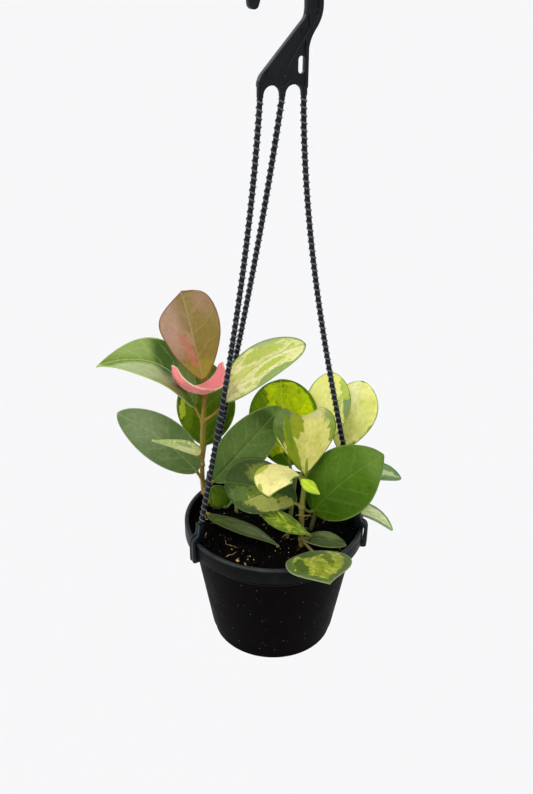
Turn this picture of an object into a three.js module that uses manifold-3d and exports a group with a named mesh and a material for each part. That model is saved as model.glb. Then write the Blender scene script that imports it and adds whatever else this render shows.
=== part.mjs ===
// A young variegated hoya in a black hanging nursery pot, with its moulded three-strand hanger.
// Millimetres, +Z up. While modelling, the origin is the middle of the plane of the pot's rim, and the
// front of the plant looks towards -Y. The whole object is then set so that the crown of the hook,
// which it hangs from, is the origin.
import * as THREE from 'three';
import { mergeVertices } from 'three/addons/utils/BufferGeometryUtils.js';
import Module from 'manifold-3d';

const wasm = await Module();
wasm.setup();

// ---------------------------------------------------------------- driving dimensions
const CLEARANCE = 0.3; // between neighbouring pieces

const POT = {
  rimRadius: 57.5,
  rimInnerRadius: 54.7,
  lipRound: 1.4,
  draft: 0.3, // the rim is this much narrower inside at its ledge than at its lip
  bandHeight: 10.6,
  wallTopRadius: 53.1,
  shoulderDepth: 16,
  shoulderStep: 0.5,
  wallFootRadius: 40.7,
  footDepth: 78.3,
  baseRadius: 38.9,
  height: 85,
  wall: 1.5,
  floor: 2.2,
  segments: 40,
  drainCount: 6,
  drainRadius: 3.5,
  drainCircle: 26,
};

const SOIL = { depth: 7.8, bump: 0.7, rings: 5, holeClearance: 0.8, rootDepth: 8 };

const HOOK = {
  turn: 26, // degrees from the X axis to the plane of the plate
  seatHeight: 314.5,
  arcHeight: 302,
  innerRadius: 12.5,
  outerRadius: 21,
  outerShift: 1.1, // the bar is thicker on the shank side
  thickness: 4.2,
  pocketDepth: 0.9,
  strandHeight: 257.4,
  strandOffsets: [-12.2, 0.3, 12.8],
};

const STRAND = {
  coreRadius: 1.45,
  ribRadius: 1.95,
  ribs: 65,
  neck: 3.5, // smooth length above the first rib and below the last
  sides: 5,
  endHeight: 9,
  endRadius: 53.5,
};

// each strand runs to its clip: where the clip sits round the rim, and how much the strand bows
const STRANDS = [
  { name: 'hanger_strand_front_left', clipAngle: 213, bow: 0.6 },
  { name: 'hanger_strand_back_left', clipAngle: 143.5, bow: 0.25 },
  { name: 'hanger_strand_right', clipAngle: 349, bow: 0.84 },
];

const CLIP = { width: 4.8, strap: 2.3, drop: 14, barb: 1.9, innerDrop: 5 };

const STEM = { sides: 6, stepLength: 8, petioleRadius: 1.15, petioleSteps: 3, nodeSwell: 1.25 };

const BLADE = { thickness: 1.2, stations: 8, columns: 4, baseWidth: 2.2, tipWidth: 0.9, margin: 0.62 };

// stems: points from the soil upwards, where each leaf pair grows from one of the points
const VINES = [
  {
    name: 'stem_left',
    radius: 1.7,
    points: [[-42.5, 19.8, -8], [-43.4, 19.4, -3], [-46.5, 19, 4], [-47.5, 19, 25], [-46, 18, 58], [-44.6, 17, 78]],
  },
  { name: 'stem_front', radius: 1.9, points: [[17.5, -22, -8], [17.3, -21.5, -3], [17, -20, 20], [18.4, -18.5, 38]] },
  { name: 'stem_middle', radius: 1.6, points: [[9, -12, -8], [9.5, -10, -2], [11, -3, 8], [13, 8, 24]] },
  { name: 'stem_right', radius: 1.6, points: [[24, -3, -8], [25.5, -1, -2], [29, 4, 12], [31, 9, 34]] },
  { name: 'stem_back', radius: 1.5, points: [[-25, 15, -8], [-25, 16.5, -3], [-26, 19, 2]] },
];

// leaf colours as they show from a step away
const GREEN = 0x3f6b2c;
const DARK_GREEN = 0x35523a;
const LIME = 0x8fae2f;
const CREAM = 0xc9cf83;
const BRONZE = 0x8a6a58;
const PINK = 0xc9606a;

// leaves: base and tip of the midrib, the way the upper face looks, the full width and the form.
// `at` is the point of the stem that the petiole grows from. `widest` is measured from the base,
// `arch` lifts the middle of the midrib, `cup` lifts the margins, `sway` bends the midrib sideways,
// `curl` lifts the tip and `blunt` fills out the ends.
const LEAVES = [
  {
    name: 'leaf_left_bronze', color: BRONZE, vine: 0, at: 5, base: [-45.4, 18, 87], tip: [-57.5, 22, 143],
    faces: [0, -1, 0.1], width: 37, widest: 0.62, arch: -2, cup: 2.5,
  },
  {
    name: 'leaf_left_pink', color: PINK, vine: 0, at: 5, base: [-44.3, 12, 80], tip: [-44, -14, 99],
    faces: [0, 0.55, 1], width: 38, widest: 0.5, arch: -3, cup: 16,
  },
  {
    name: 'leaf_left_arching', color: GREEN, vine: 0, at: 4, base: [-51, 17, 69], tip: [-109.5, 12, 97.5],
    faces: [0.2, -0.2, 1], width: 42, widest: 0.5, arch: 15, cup: 4.2, sway: 3,
  },
  {
    name: 'leaf_left_cream', color: CREAM, vine: 0, at: 4, base: [-31.5, 13, 75], tip: [16.3, -2, 121],
    faces: [0, -0.9, 0.5], width: 23, widest: 0.52, arch: 2, cup: 2, sway: -3,
  },
  {
    name: 'leaf_left_behind', color: GREEN, vine: 0, at: 3, base: [-46.4, 31, 33], tip: [-43.8, 38, 90],
    faces: [0, -1, 0.4], width: 38, widest: 0.5, arch: 2, cup: 2,
  },
  {
    name: 'leaf_left_front', color: LIME, vine: 0, at: 3, base: [-49.1, 5, 40.8], tip: [-72.7, -22, 66.5],
    faces: [0, 0.6, 0.8], width: 30, widest: 0.5, arch: 2, cup: 1.5,
  },
  {
    name: 'leaf_left_low', color: DARK_GREEN, vine: 0, at: 2, base: [-50.6, 14.5, 22.7], tip: [-97, 3, 70.5],
    faces: [-0.2, -0.8, 0.6], width: 29, widest: 0.5, arch: 3, cup: 1.5, sway: 3.5, blunt: 0.55,
  },
  {
    name: 'leaf_left_inner', color: DARK_GREEN, vine: 0, at: 2, base: [-39.7, 12, 17.4], tip: [3, 0, 78.5],
    faces: [0.1, -0.85, 0.5], width: 29, widest: 0.52, arch: 3, cup: 2, blunt: 0.55,
  },
  {
    name: 'leaf_left_soil', color: GREEN, vine: 0, at: 1, base: [-42, 6, -2.5], tip: [3.5, -28, -3.5],
    faces: [0.1, 0.1, 1], width: 27, widest: 0.45, arch: 4, cup: 1.5,
  },
  {
    name: 'leaf_front_cream', color: CREAM, vine: 1, at: 3, base: [18.4, -20.5, 43.2], tip: [16.3, -9, 82.4],
    faces: [0, -1, 0.3], width: 37, widest: 0.73, arch: 4, cup: 3.5, curl: -3, blunt: 0.5,
  },
  {
    name: 'leaf_front_small_cream', color: CREAM, vine: 1, at: 3, base: [15.2, -25, 45.2], tip: [-2.6, -44, 42.6],
    faces: [-0.3, -0.3, 1], width: 25, widest: 0.55, arch: 5, cup: 1.5, sway: 5, blunt: 0.75,
  },
  {
    name: 'leaf_front_bud', color: LIME, vine: 1, at: 3, base: [17.8, -29, 44.4], tip: [25.7, -37, 43.1],
    faces: [0, -0.5, 0.8], width: 7, widest: 0.5, arch: 2, cup: 0.5, sway: -1.5,
  },
  {
    name: 'leaf_front_round', color: GREEN, vine: 1, at: 2, base: [24, -17, 15.2], tip: [62.3, -34, 66.2],
    faces: [-0.3, -0.9, 0.5], width: 41, widest: 0.5, arch: 3, cup: 1.5, blunt: 0.5, sway: -2,
  },
  {
    name: 'leaf_front_large', color: DARK_GREEN, vine: 1, at: 2, base: [13.5, -19.5, 22], tip: [-31, -5, 27.5],
    faces: [-0.1, -0.85, 0.6], width: 34, widest: 0.58, arch: 2, cup: 2, sway: 3, blunt: 0.5,
  },
  {
    name: 'leaf_front_low_left', color: LIME, vine: 1, at: 1, base: [21, -30, 7], tip: [-9, -16, 14.5],
    faces: [-0.2, -0.8, 0.6], width: 11, widest: 0.55, arch: 1, cup: 1.5,
  },
  {
    name: 'leaf_front_low_right', color: GREEN, vine: 1, at: 1, base: [23, -25.5, -2], tip: [43.5, -29, -1],
    faces: [-0.1, 0, 1], width: 15, widest: 0.5, arch: 2, cup: 1,
  },
  {
    name: 'leaf_front_rim', color: LIME, vine: 1, at: 1, base: [23.5, -41, 2], tip: [32, -78, 7.5],
    faces: [0, -0.1, 1], width: 39, widest: 0.42, arch: 2, cup: -1.5, blunt: 0.5,
  },
  {
    name: 'leaf_middle_lime', color: LIME, vine: 2, at: 3, base: [16, 16, 30.5], tip: [1, 24, 84],
    faces: [0, -0.85, 0.5], width: 43, widest: 0.6, arch: 3, cup: 2, sway: -1, blunt: 0.5,
  },
  {
    name: 'leaf_middle_back', color: GREEN, vine: 2, at: 3, base: [18, 18, 22], tip: [30, 50, 14],
    faces: [0, 0, 1], width: 30, widest: 0.5, arch: 5, cup: 1.5,
  },
  {
    name: 'leaf_right_tip', color: CREAM, vine: 3, at: 3, base: [29.3, 13, 45], tip: [34.8, 20, 93],
    faces: [0, -0.9, 0.4], width: 28, widest: 0.6, arch: 2, cup: 1.5, blunt: 0.5,
  },
  {
    name: 'leaf_right_pale', color: CREAM, vine: 3, at: 3, base: [42, 19, 38], tip: [54, 27, 84],
    faces: [0.1, -0.9, 0.4], width: 30, widest: 0.6, arch: 2, cup: 1.5, blunt: 0.5,
  },
  {
    name: 'leaf_right_far', color: LIME, vine: 3, at: 2, base: [44, 11, 21], tip: [80, 4, 26.5],
    faces: [0.1, 0, 1], width: 24, widest: 0.5, arch: 5, cup: 2,
  },
  {
    name: 'leaf_right_drooping', color: CREAM, vine: 3, at: 2, base: [42, 4, 3.7], tip: [76.8, 0, -10],
    faces: [0.5, 0, 1], width: 18, widest: 0.5, arch: 5, cup: 2,
  },
  {
    name: 'leaf_back_small', color: LIME, vine: 4, at: 2, base: [-33, 14, -4], tip: [-40, 12, 13.5],
    faces: [0.3, -0.85, 0.5], width: 15, widest: 0.5, arch: 1, cup: 1,
  },
  {
    name: 'leaf_back_upper', color: DARK_GREEN, vine: 4, at: 2, base: [-24, 22, 6], tip: [-27, 36, 34],
    faces: [0, -0.9, 0.4], width: 24, widest: 0.5, arch: 2, cup: 1,
  },
  {
    name: 'leaf_back_far', color: GREEN, vine: 4, at: 2, base: [-21, 26, 4], tip: [-10, 52, 2],
    faces: [0, 0, 1], width: 24, widest: 0.5, arch: 6, cup: 1.5,
  },
];

// ---------------------------------------------------------------- shared helpers
const vector = (point) => new THREE.Vector3(...point);

const radians = THREE.MathUtils.degToRad;

/** A closed geometry as a solid that can be joined and cut. */
function solidOf(geometry) {
  const bare = geometry.index ? geometry.toNonIndexed() : geometry.clone();
  bare.deleteAttribute('normal');
  bare.deleteAttribute('uv');
  const merged = mergeVertices(bare, 1e-4);
  const mesh = new wasm.Mesh({
    numProp: 3,
    vertProperties: new Float32Array(merged.attributes.position.array),
    triVerts: new Uint32Array(merged.index.array),
  });
  return new wasm.Manifold(mesh);
}

/** The geometry of a joined or cut solid. */
function geometryOf(solid) {
  const mesh = solid.getMesh();
  const geometry = new THREE.BufferGeometry();
  geometry.setAttribute('position', new THREE.BufferAttribute(mesh.vertProperties, 3));
  geometry.setIndex(new THREE.BufferAttribute(mesh.triVerts, 1));
  return geometry;
}

/** All geometries joined into one body. */
function fuse(geometries) {
  const solids = geometries.map(solidOf);
  return geometryOf(solids.reduce((whole, next) => whole.add(next)));
}

/** The first geometry with the others cut away. */
function cut(geometry, cutters) {
  const whole = cutters.map(solidOf).reduce((rest, cutter) => rest.subtract(cutter), solidOf(geometry));
  return geometryOf(whole);
}

function material(color, roughness, metalness = 0) {
  return new THREE.MeshStandardMaterial({ color, roughness, metalness });
}

function piece(name, geometry, surface) {
  const mesh = new THREE.Mesh(geometry, surface);
  mesh.name = name;
  return mesh;
}

const blackPlastic = () => material(0x1d1f21, 0.55);

// ---------------------------------------------------------------- pot
/** Radius of the pot's outer wall at a depth below the rim. */
function wallRadius(depth) {
  const share = (depth - POT.bandHeight) / (POT.footDepth - POT.bandHeight);
  return THREE.MathUtils.lerp(POT.wallTopRadius, POT.wallFootRadius, share);
}

/** Points of a quarter round, from one corner of it to the other. */
function quarterRound(radius, height, size, towardsInside) {
  const centre = towardsInside ? radius + size : radius - size;
  const turns = towardsInside ? [1 / 3, 2 / 3, 1] : [0, 1 / 3, 2 / 3];
  return turns.map((turn) => {
    const angle = (turn * Math.PI) / 2;
    const across = towardsInside ? -Math.sin(angle) : Math.cos(angle);
    const up = towardsInside ? Math.cos(angle) : Math.sin(angle);
    return new THREE.Vector2(centre + size * across, height - size + size * up);
  });
}

function potGeometry() {
  const innerTop = wallRadius(POT.shoulderDepth) - POT.wall;
  const innerFoot = POT.wallFootRadius - POT.wall;
  const ledge = POT.bandHeight - POT.wall;
  const profile = [
    new THREE.Vector2(0, -POT.height),
    new THREE.Vector2(POT.baseRadius - 1, -POT.height),
    new THREE.Vector2(POT.baseRadius, -POT.height + 1),
    new THREE.Vector2(POT.baseRadius + 0.4, -POT.footDepth - 0.8),
    new THREE.Vector2(POT.wallFootRadius, -POT.footDepth),
    new THREE.Vector2(wallRadius(POT.shoulderDepth) - POT.shoulderStep, -POT.shoulderDepth),
    new THREE.Vector2(wallRadius(POT.shoulderDepth), -POT.shoulderDepth + POT.shoulderStep),
    new THREE.Vector2(POT.wallTopRadius, -POT.bandHeight),
    new THREE.Vector2(POT.rimRadius - 1, -POT.bandHeight),
    new THREE.Vector2(POT.rimRadius - 0.2, -POT.bandHeight + 0.8),
    ...quarterRound(POT.rimRadius, 0, POT.lipRound, false),
    new THREE.Vector2(POT.rimRadius - POT.lipRound, 0),
    ...quarterRound(POT.rimInnerRadius, 0, POT.lipRound, true),
    new THREE.Vector2(POT.rimInnerRadius - POT.draft, -ledge),
    new THREE.Vector2(POT.wallTopRadius - POT.wall, -ledge),
    new THREE.Vector2(innerTop, -POT.shoulderDepth),
    new THREE.Vector2(innerFoot, -POT.footDepth),
    new THREE.Vector2(POT.baseRadius - POT.wall, -POT.height + POT.floor),
    new THREE.Vector2(0, -POT.height + POT.floor),
  ];
  const shell = uprightLathe(profile, POT.segments);
  const drains = Array.from({ length: POT.drainCount }, (_, index) => {
    const angle = (index * 2 * Math.PI) / POT.drainCount;
    const drain = new THREE.CylinderGeometry(POT.drainRadius, POT.drainRadius, 4 * POT.floor, 10);
    drain.rotateX(Math.PI / 2);
    drain.translate(POT.drainCircle * Math.cos(angle), POT.drainCircle * Math.sin(angle), -POT.height);
    return drain;
  });
  return cut(shell, drains);
}

/** A lathe whose axis is Z; its profile holds radius and height. */
function uprightLathe(profile, segments) {
  const lathe = new THREE.LatheGeometry(profile, segments);
  lathe.rotateX(Math.PI / 2);
  return lathe;
}

// ---------------------------------------------------------------- soil
/** Height of the loose, uneven soil over its mean level. */
function soilBump(x, y) {
  const broad = Math.sin(x * 0.17 + 0.6) * Math.cos(y * 0.15 - 0.4);
  const fine = Math.sin(x * 0.55 + y * 0.31) * Math.cos(y * 0.47 - x * 0.2);
  return SOIL.bump * (0.6 * broad + 0.4 * fine);
}

function soilGeometry() {
  const gap = CLEARANCE;
  const top = POT.rimInnerRadius - POT.draft - gap;
  const ledge = POT.bandHeight - POT.wall - gap;
  const rings = Array.from({ length: SOIL.rings }, (_, index) => {
    return new THREE.Vector2(top * (1 - (index + 0.5) / SOIL.rings), -SOIL.depth);
  });
  const profile = [
    new THREE.Vector2(0, -POT.height + POT.floor + gap),
    new THREE.Vector2(POT.baseRadius - POT.wall - gap - 0.3, -POT.height + POT.floor + gap),
    new THREE.Vector2(POT.wallFootRadius - POT.wall - gap, -POT.footDepth + gap),
    new THREE.Vector2(wallRadius(POT.shoulderDepth) - POT.wall - gap, -POT.shoulderDepth + gap),
    new THREE.Vector2(POT.wallTopRadius - POT.wall - gap, -ledge),
    new THREE.Vector2(top, -ledge),
    new THREE.Vector2(top, -SOIL.depth - 0.4),
    ...rings,
    new THREE.Vector2(0, -SOIL.depth),
  ];
  const body = uprightLathe(profile, POT.segments);
  const places = body.attributes.position;
  for (let index = 0; index < places.count; index += 1) {
    if (Math.abs(places.getZ(index) + SOIL.depth) < 0.01) {
      places.setZ(index, -SOIL.depth + soilBump(places.getX(index), places.getY(index)));
    }
  }
  const holes = VINES.map(({ radius, points }) => {
    const size = radius + SOIL.holeClearance;
    const hole = new THREE.CylinderGeometry(size, size, 2 * (SOIL.rootDepth + CLEARANCE), 10);
    return hole.rotateX(Math.PI / 2).translate(...points[0]);
  });
  return cut(body, holes);
}

// ---------------------------------------------------------------- hanger: hook plate
/** A flat outline in the plane of the plate (across, height), given its thickness about that plane. */
function plateGeometry(shape, thickness) {
  const flat = new THREE.ExtrudeGeometry(shape, { depth: thickness, bevelEnabled: false, curveSegments: 5 });
  flat.translate(0, 0, -thickness / 2);
  flat.rotateX(Math.PI / 2);
  flat.rotateZ(radians(HOOK.turn));
  return flat;
}

function hookOutline() {
  const [left, middle, right] = HOOK.strandOffsets;
  const half = 1.9; // half the width of a strand's neck
  const legs = HOOK.strandHeight + CLEARANCE;
  const arch = (right - middle) / 2 - half;
  const archHeight = legs + 1.6;
  const shape = new THREE.Shape();
  shape.moveTo(left - half, legs);
  shape.lineTo(left + half, legs);
  shape.lineTo(left + half, archHeight);
  shape.absarc((left + middle) / 2, archHeight, arch, Math.PI, 0, true);
  shape.lineTo(middle - half, legs);
  shape.lineTo(middle + half, legs);
  shape.lineTo(middle + half, archHeight);
  shape.absarc((middle + right) / 2, archHeight, arch, Math.PI, 0, true);
  shape.lineTo(right - half, legs);
  shape.lineTo(right + half, legs);
  shape.lineTo(right + half, 281);
  shape.quadraticCurveTo(15, 286, 18, 290);
  shape.quadraticCurveTo(22.1, 295.5, HOOK.outerRadius + HOOK.outerShift, HOOK.arcHeight);
  shape.absarc(HOOK.outerShift, HOOK.arcHeight, HOOK.outerRadius, 0, Math.PI, false);
  shape.absarc(-16.6, 301.6, 3.3, Math.PI, 1.78 * Math.PI, false);
  shape.quadraticCurveTo(-12.6, 302.4, -HOOK.innerRadius, HOOK.arcHeight + 2);
  shape.absarc(0, HOOK.arcHeight, HOOK.innerRadius, 0.95 * Math.PI, 0, true);
  shape.quadraticCurveTo(12.9, 297, 11.1, 294.4);
  shape.lineTo(-11.6, 269.6);
  shape.quadraticCurveTo(left - half, 267, left - half, 264);
  return shape;
}

/** The shallow pockets between the plate's raised ribs, the same on both faces. */
function pocketOutlines() {
  const plate = new THREE.Shape();
  plate.moveTo(-12.4, 264);
  plate.quadraticCurveTo(-12.3, 266.6, -10.2, 268.9);
  plate.lineTo(10.2, 291.2);
  plate.lineTo(13.6, 293.2);
  plate.lineTo(14.6, 289);
  plate.lineTo(4.4, 274.6);
  plate.quadraticCurveTo(8.6, 270.5, 8.4, 266.6);
  plate.quadraticCurveTo(3.2, 266.6, 0.3, 263.4);
  plate.quadraticCurveTo(-5.8, 268.8, -12.4, 264);
  const corner = new THREE.Shape();
  corner.moveTo(13.4, 284.2);
  corner.lineTo(13.4, 279.2);
  corner.lineTo(9.6, 278.6);
  const channel = new THREE.Shape();
  const middleRadius = (HOOK.innerRadius + HOOK.outerRadius) / 2 + 0.2;
  channel.absarc(HOOK.outerShift / 2, HOOK.arcHeight, middleRadius + 2.6, 0.02 * Math.PI, 0.99 * Math.PI, false);
  channel.absarc(HOOK.outerShift / 2, HOOK.arcHeight, middleRadius - 2.4, 0.97 * Math.PI, 0.02 * Math.PI, true);
  const heel = new THREE.Shape();
  heel.moveTo(15.2, 300.6);
  heel.lineTo(20.2, 300.6);
  heel.quadraticCurveTo(20, 296, 16.4, 291.4);
  heel.lineTo(15.2, 294.5);
  return [plate, corner, channel, heel];
}

function hookGeometry() {
  const body = plateGeometry(hookOutline(), HOOK.thickness);
  const slot = new THREE.Shape();
  slot.absarc(11.45, 275.5, 1.6, 0, Math.PI, false);
  slot.absarc(11.45, 270, 1.6, Math.PI, 2 * Math.PI, false);
  const normal = new THREE.Vector3(Math.sin(radians(HOOK.turn)), -Math.cos(radians(HOOK.turn)), 0);
  const shift = HOOK.thickness / 2;
  const pockets = pocketOutlines().flatMap((outline) => [-1, 1].map((side) => {
    const pocket = plateGeometry(outline, 2 * HOOK.pocketDepth);
    return pocket.translate(normal.x * side * shift, normal.y * side * shift, 0);
  }));
  return cut(body, [...pockets, plateGeometry(slot, 2 * HOOK.thickness)]);
}

// ---------------------------------------------------------------- hanger: strands and clips
/** The middle line of a strand: straight down its height, while it bows out sideways to the rim. */
class StrandCurve extends THREE.Curve {
  constructor(start, end, bow) {
    super();
    this.start = start;
    this.end = end;
    this.bow = bow;
  }

  getPoint(share, target = new THREE.Vector3()) {
    const bent = (3 * share ** 2 - share ** 3) / 2;
    const sideways = THREE.MathUtils.lerp(share, bent, this.bow);
    return target.set(
      THREE.MathUtils.lerp(this.start.x, this.end.x, sideways),
      THREE.MathUtils.lerp(this.start.y, this.end.y, sideways),
      THREE.MathUtils.lerp(this.start.z, this.end.z, share),
    );
  }
}

function strandCurve({ clipAngle, bow }, offset) {
  const turn = radians(HOOK.turn);
  const angle = radians(clipAngle);
  const start = new THREE.Vector3(offset * Math.cos(turn), offset * Math.sin(turn), HOOK.strandHeight);
  const end = new THREE.Vector3(
    STRAND.endRadius * Math.cos(angle),
    STRAND.endRadius * Math.sin(angle),
    STRAND.endHeight,
  );
  return new StrandCurve(start, end, bow);
}

/** A straight ribbed rod, turned on a lathe and then bent along the strand's curve. */
function ribbedRod(curve) {
  const length = curve.getLength();
  const pitch = (length - 2 * STRAND.neck) / STRAND.ribs;
  const profile = [new THREE.Vector2(0, 0), new THREE.Vector2(STRAND.coreRadius, 0)];
  for (let rib = 0; rib < STRAND.ribs; rib += 1) {
    const along = STRAND.neck + rib * pitch;
    profile.push(new THREE.Vector2(STRAND.coreRadius, along));
    profile.push(new THREE.Vector2(STRAND.ribRadius, along + pitch / 2));
  }
  profile.push(new THREE.Vector2(STRAND.coreRadius, length - STRAND.neck));
  profile.push(new THREE.Vector2(STRAND.coreRadius, length));
  profile.push(new THREE.Vector2(0, length));
  const rod = uprightLathe(profile, STRAND.sides);
  const places = rod.attributes.position;
  const across = new THREE.Vector3(1, 0, 0);
  for (let index = 0; index < places.count; index += 1) {
    const share = THREE.MathUtils.clamp(places.getZ(index) / length, 0, 1);
    const point = curve.getPointAt(share);
    const along = curve.getTangentAt(share);
    const back = new THREE.Vector3().crossVectors(along, across).normalize();
    const side = new THREE.Vector3().crossVectors(back, along);
    point.addScaledVector(side, places.getX(index));
    point.addScaledVector(back, places.getY(index));
    places.setXYZ(index, point.x, point.y, point.z);
  }
  return rod;
}

/** The clip over the rim, drawn from the side (radius, height) and given its width round the rim. */
function clipGeometry(clipAngle) {
  const inner = POT.rimInnerRadius - POT.draft - CLEARANCE - 0.2;
  const outer = POT.rimRadius + CLEARANCE + 0.2;
  const rise = CLEARANCE + 0.2;
  const shape = new THREE.Shape();
  shape.moveTo(inner, rise);
  shape.lineTo(inner, -CLIP.innerDrop);
  shape.lineTo(inner - CLIP.strap + 0.4, -CLIP.innerDrop);
  shape.lineTo(inner - CLIP.strap, rise + 1);
  shape.quadraticCurveTo(inner - CLIP.strap, rise + 3.4, inner - 0.6, rise + 4.6);
  shape.quadraticCurveTo(outer + CLIP.strap, rise + 4.6, outer + CLIP.strap, rise - 1);
  shape.lineTo(outer + CLIP.strap - 0.2, 1 - CLIP.drop);
  shape.lineTo(outer + CLIP.strap - 1.2, -CLIP.drop);
  shape.lineTo(outer - 0.6, -CLIP.drop);
  shape.lineTo(outer - CLIP.barb, -POT.bandHeight - 1.6);
  shape.lineTo(outer - CLIP.barb, -POT.bandHeight - CLEARANCE - 0.1);
  shape.lineTo(outer, -POT.bandHeight - CLEARANCE);
  shape.lineTo(outer, rise);
  const strap = new THREE.ExtrudeGeometry(shape, { depth: CLIP.width, bevelEnabled: false, curveSegments: 4 });
  strap.translate(0, 0, -CLIP.width / 2);
  strap.rotateX(Math.PI / 2);
  strap.rotateZ(radians(clipAngle));
  return strap;
}

/** The strand's plain foot, which widens into the clip. */
function footGeometry(curve, clipAngle) {
  const foot = new THREE.CylinderGeometry(STRAND.coreRadius, 2.3, 6.2, 6);
  foot.rotateX(Math.PI / 2);
  foot.translate(STRAND.endRadius + 0.2, 0, STRAND.endHeight - 2.6);
  foot.rotateZ(radians(clipAngle));
  return foot;
}

function strandGeometry(spec, offset) {
  const curve = strandCurve(spec, offset);
  return fuse([ribbedRod(curve), footGeometry(curve, spec.clipAngle), clipGeometry(spec.clipAngle)]);
}

// ---------------------------------------------------------------- leaves
/** The frame of a leaf: its midrib from base to tip, the way its face looks, and its side. */
function leafFrame({ base, tip, faces }) {
  const start = vector(base);
  const chord = vector(tip).sub(start);
  const along = chord.clone().normalize();
  const face = vector(faces).addScaledVector(along, -vector(faces).dot(along)).normalize();
  const side = new THREE.Vector3().crossVectors(along, face);
  return { start, chord, face, side };
}

/** A point of the midrib, at a share of its length from the base. */
function midribPoint(leaf, share) {
  const { start, chord, face, side } = leafFrame(leaf);
  const bulge = 4 * share * (1 - share);
  const curl = Math.max(0, share - 0.7) / 0.3;
  return start.addScaledVector(chord, share)
    .addScaledVector(face, (leaf.arch ?? 0) * bulge + (leaf.curl ?? 0) * curl ** 2)
    .addScaledVector(side, (leaf.sway ?? 0) * bulge);
}

function midribDirection(leaf, share) {
  const step = 0.01;
  const before = midribPoint(leaf, Math.max(0, share - step));
  const after = midribPoint(leaf, Math.min(1, share + step));
  return after.sub(before).normalize();
}

/** Half the width of the blade at a share of its length. */
function halfWidth({ width, widest, blunt = 0.62 }, share) {
  const warp = Math.log(0.5) / Math.log(widest);
  const oval = Math.sin(Math.PI * share ** warp) ** blunt;
  const narrow = THREE.MathUtils.lerp(BLADE.baseWidth, BLADE.tipWidth, share) / 2;
  return Math.max(narrow, (width / 2) * (Number.isFinite(oval) ? oval : 0));
}

/** A point of the blade's middle surface and its normal there; `across` runs from -1 to 1. */
function bladePoint(leaf, share, across) {
  const { face } = leafFrame(leaf);
  const along = midribDirection(leaf, share);
  const turn = radians((leaf.twist ?? 0) * (share - 0.5));
  const side = new THREE.Vector3().crossVectors(along, face).normalize().applyAxisAngle(along, turn);
  const normal = new THREE.Vector3().crossVectors(side, along);
  const half = halfWidth(leaf, share);
  const fullness = half / (leaf.width / 2);
  const lift = (leaf.cup ?? 0) * fullness * Math.abs(across) ** 1.6;
  const slope = ((leaf.cup ?? 0) * 1.6 * Math.abs(across) ** 0.6 * Math.sign(across)) / (leaf.width / 2);
  const point = midribPoint(leaf, share).addScaledVector(side, across * half).addScaledVector(normal, lift);
  return { point, normal: normal.addScaledVector(side, -slope).normalize() };
}

/** A closed blade: upper and lower face split alike, thick at the midrib and thin at the margin. */
function bladeGeometry(leaf) {
  const { stations, columns } = BLADE;
  const upper = [];
  const lower = [];
  for (let row = 0; row <= stations; row += 1) {
    const share = (1 - Math.cos((Math.PI * row) / stations)) / 2;
    for (let column = 0; column <= columns; column += 1) {
      const across = (2 * column) / columns - 1;
      const { point, normal } = bladePoint(leaf, share, across);
      const thick = THREE.MathUtils.lerp(BLADE.thickness, BLADE.thickness * BLADE.margin, Math.abs(across));
      upper.push(point.clone().addScaledVector(normal, thick / 2));
      lower.push(point.clone().addScaledVector(normal, -thick / 2));
    }
  }
  const width = columns + 1;
  const under = upper.length;
  const triangles = [];
  const quad = (a, b, c, d) => triangles.push(a, b, c, a, c, d);
  for (let row = 0; row < stations; row += 1) {
    for (let column = 0; column < columns; column += 1) {
      const a = row * width + column;
      triangles.push(a, a + 1, a + width + 1, a, a + width + 1, a + width);
      const b = a + under;
      triangles.push(b, b + width + 1, b + 1, b, b + width, b + width + 1);
    }
    const left = row * width;
    const right = left + columns;
    quad(left, left + width, left + width + under, left + under);
    quad(right, right + under, right + width + under, right + width);
  }
  for (let column = 0; column < columns; column += 1) {
    const base = column;
    const tip = stations * width + column;
    quad(base, base + under, base + under + 1, base + 1);
    quad(tip, tip + 1, tip + under + 1, tip + under);
  }
  const geometry = new THREE.BufferGeometry();
  const places = [...upper, ...lower].flatMap((point) => point.toArray());
  geometry.setAttribute('position', new THREE.Float32BufferAttribute(places, 3));
  geometry.setIndex(triangles);
  return geometry;
}

// ---------------------------------------------------------------- stems
/** A round rod along a curve. */
function rod(curve, radius, steps) {
  const section = new THREE.Shape();
  section.absarc(0, 0, radius, 0, 2 * Math.PI, false);
  return new THREE.ExtrudeGeometry(section, {
    steps,
    extrudePath: curve,
    bevelEnabled: false,
    curveSegments: STEM.sides / 2,
  });
}

/** The petiole from the stem to the base of a leaf, ending a clearance short of the blade. */
function petioleGeometry(leaf, node) {
  const base = vector(leaf.base);
  const along = midribDirection(leaf, 0);
  const reach = base.distanceTo(node);
  const end = base.clone().addScaledVector(along, -CLEARANCE);
  const bend = base.clone().addScaledVector(along, -reach * 0.45);
  return rod(new THREE.QuadraticBezierCurve3(node, bend, end), STEM.petioleRadius, STEM.petioleSteps);
}

/** A whole vine: its stem from the root up, a swelling at each node, and the petioles of its leaves. */
function vineGeometry(vine, index) {
  const [x, y, z] = vine.points[0];
  const path = [new THREE.Vector3(x, y, z - SOIL.rootDepth), ...vine.points.map(vector)];
  const stem = new THREE.CatmullRomCurve3(path, false, 'centripetal');
  const steps = Math.ceil(stem.getLength() / STEM.stepLength);
  const leaves = LEAVES.filter((leaf) => leaf.vine === index);
  const nodes = [...new Set(leaves.map((leaf) => leaf.at))].map((at) => {
    const swelling = new THREE.SphereGeometry(vine.radius * STEM.nodeSwell, 6, 4);
    return swelling.translate(...vine.points[at]);
  });
  const petioles = leaves.map((leaf) => petioleGeometry(leaf, vector(vine.points[leaf.at])));
  return fuse([rod(stem, vine.radius, steps), ...nodes, ...petioles]);
}

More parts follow.
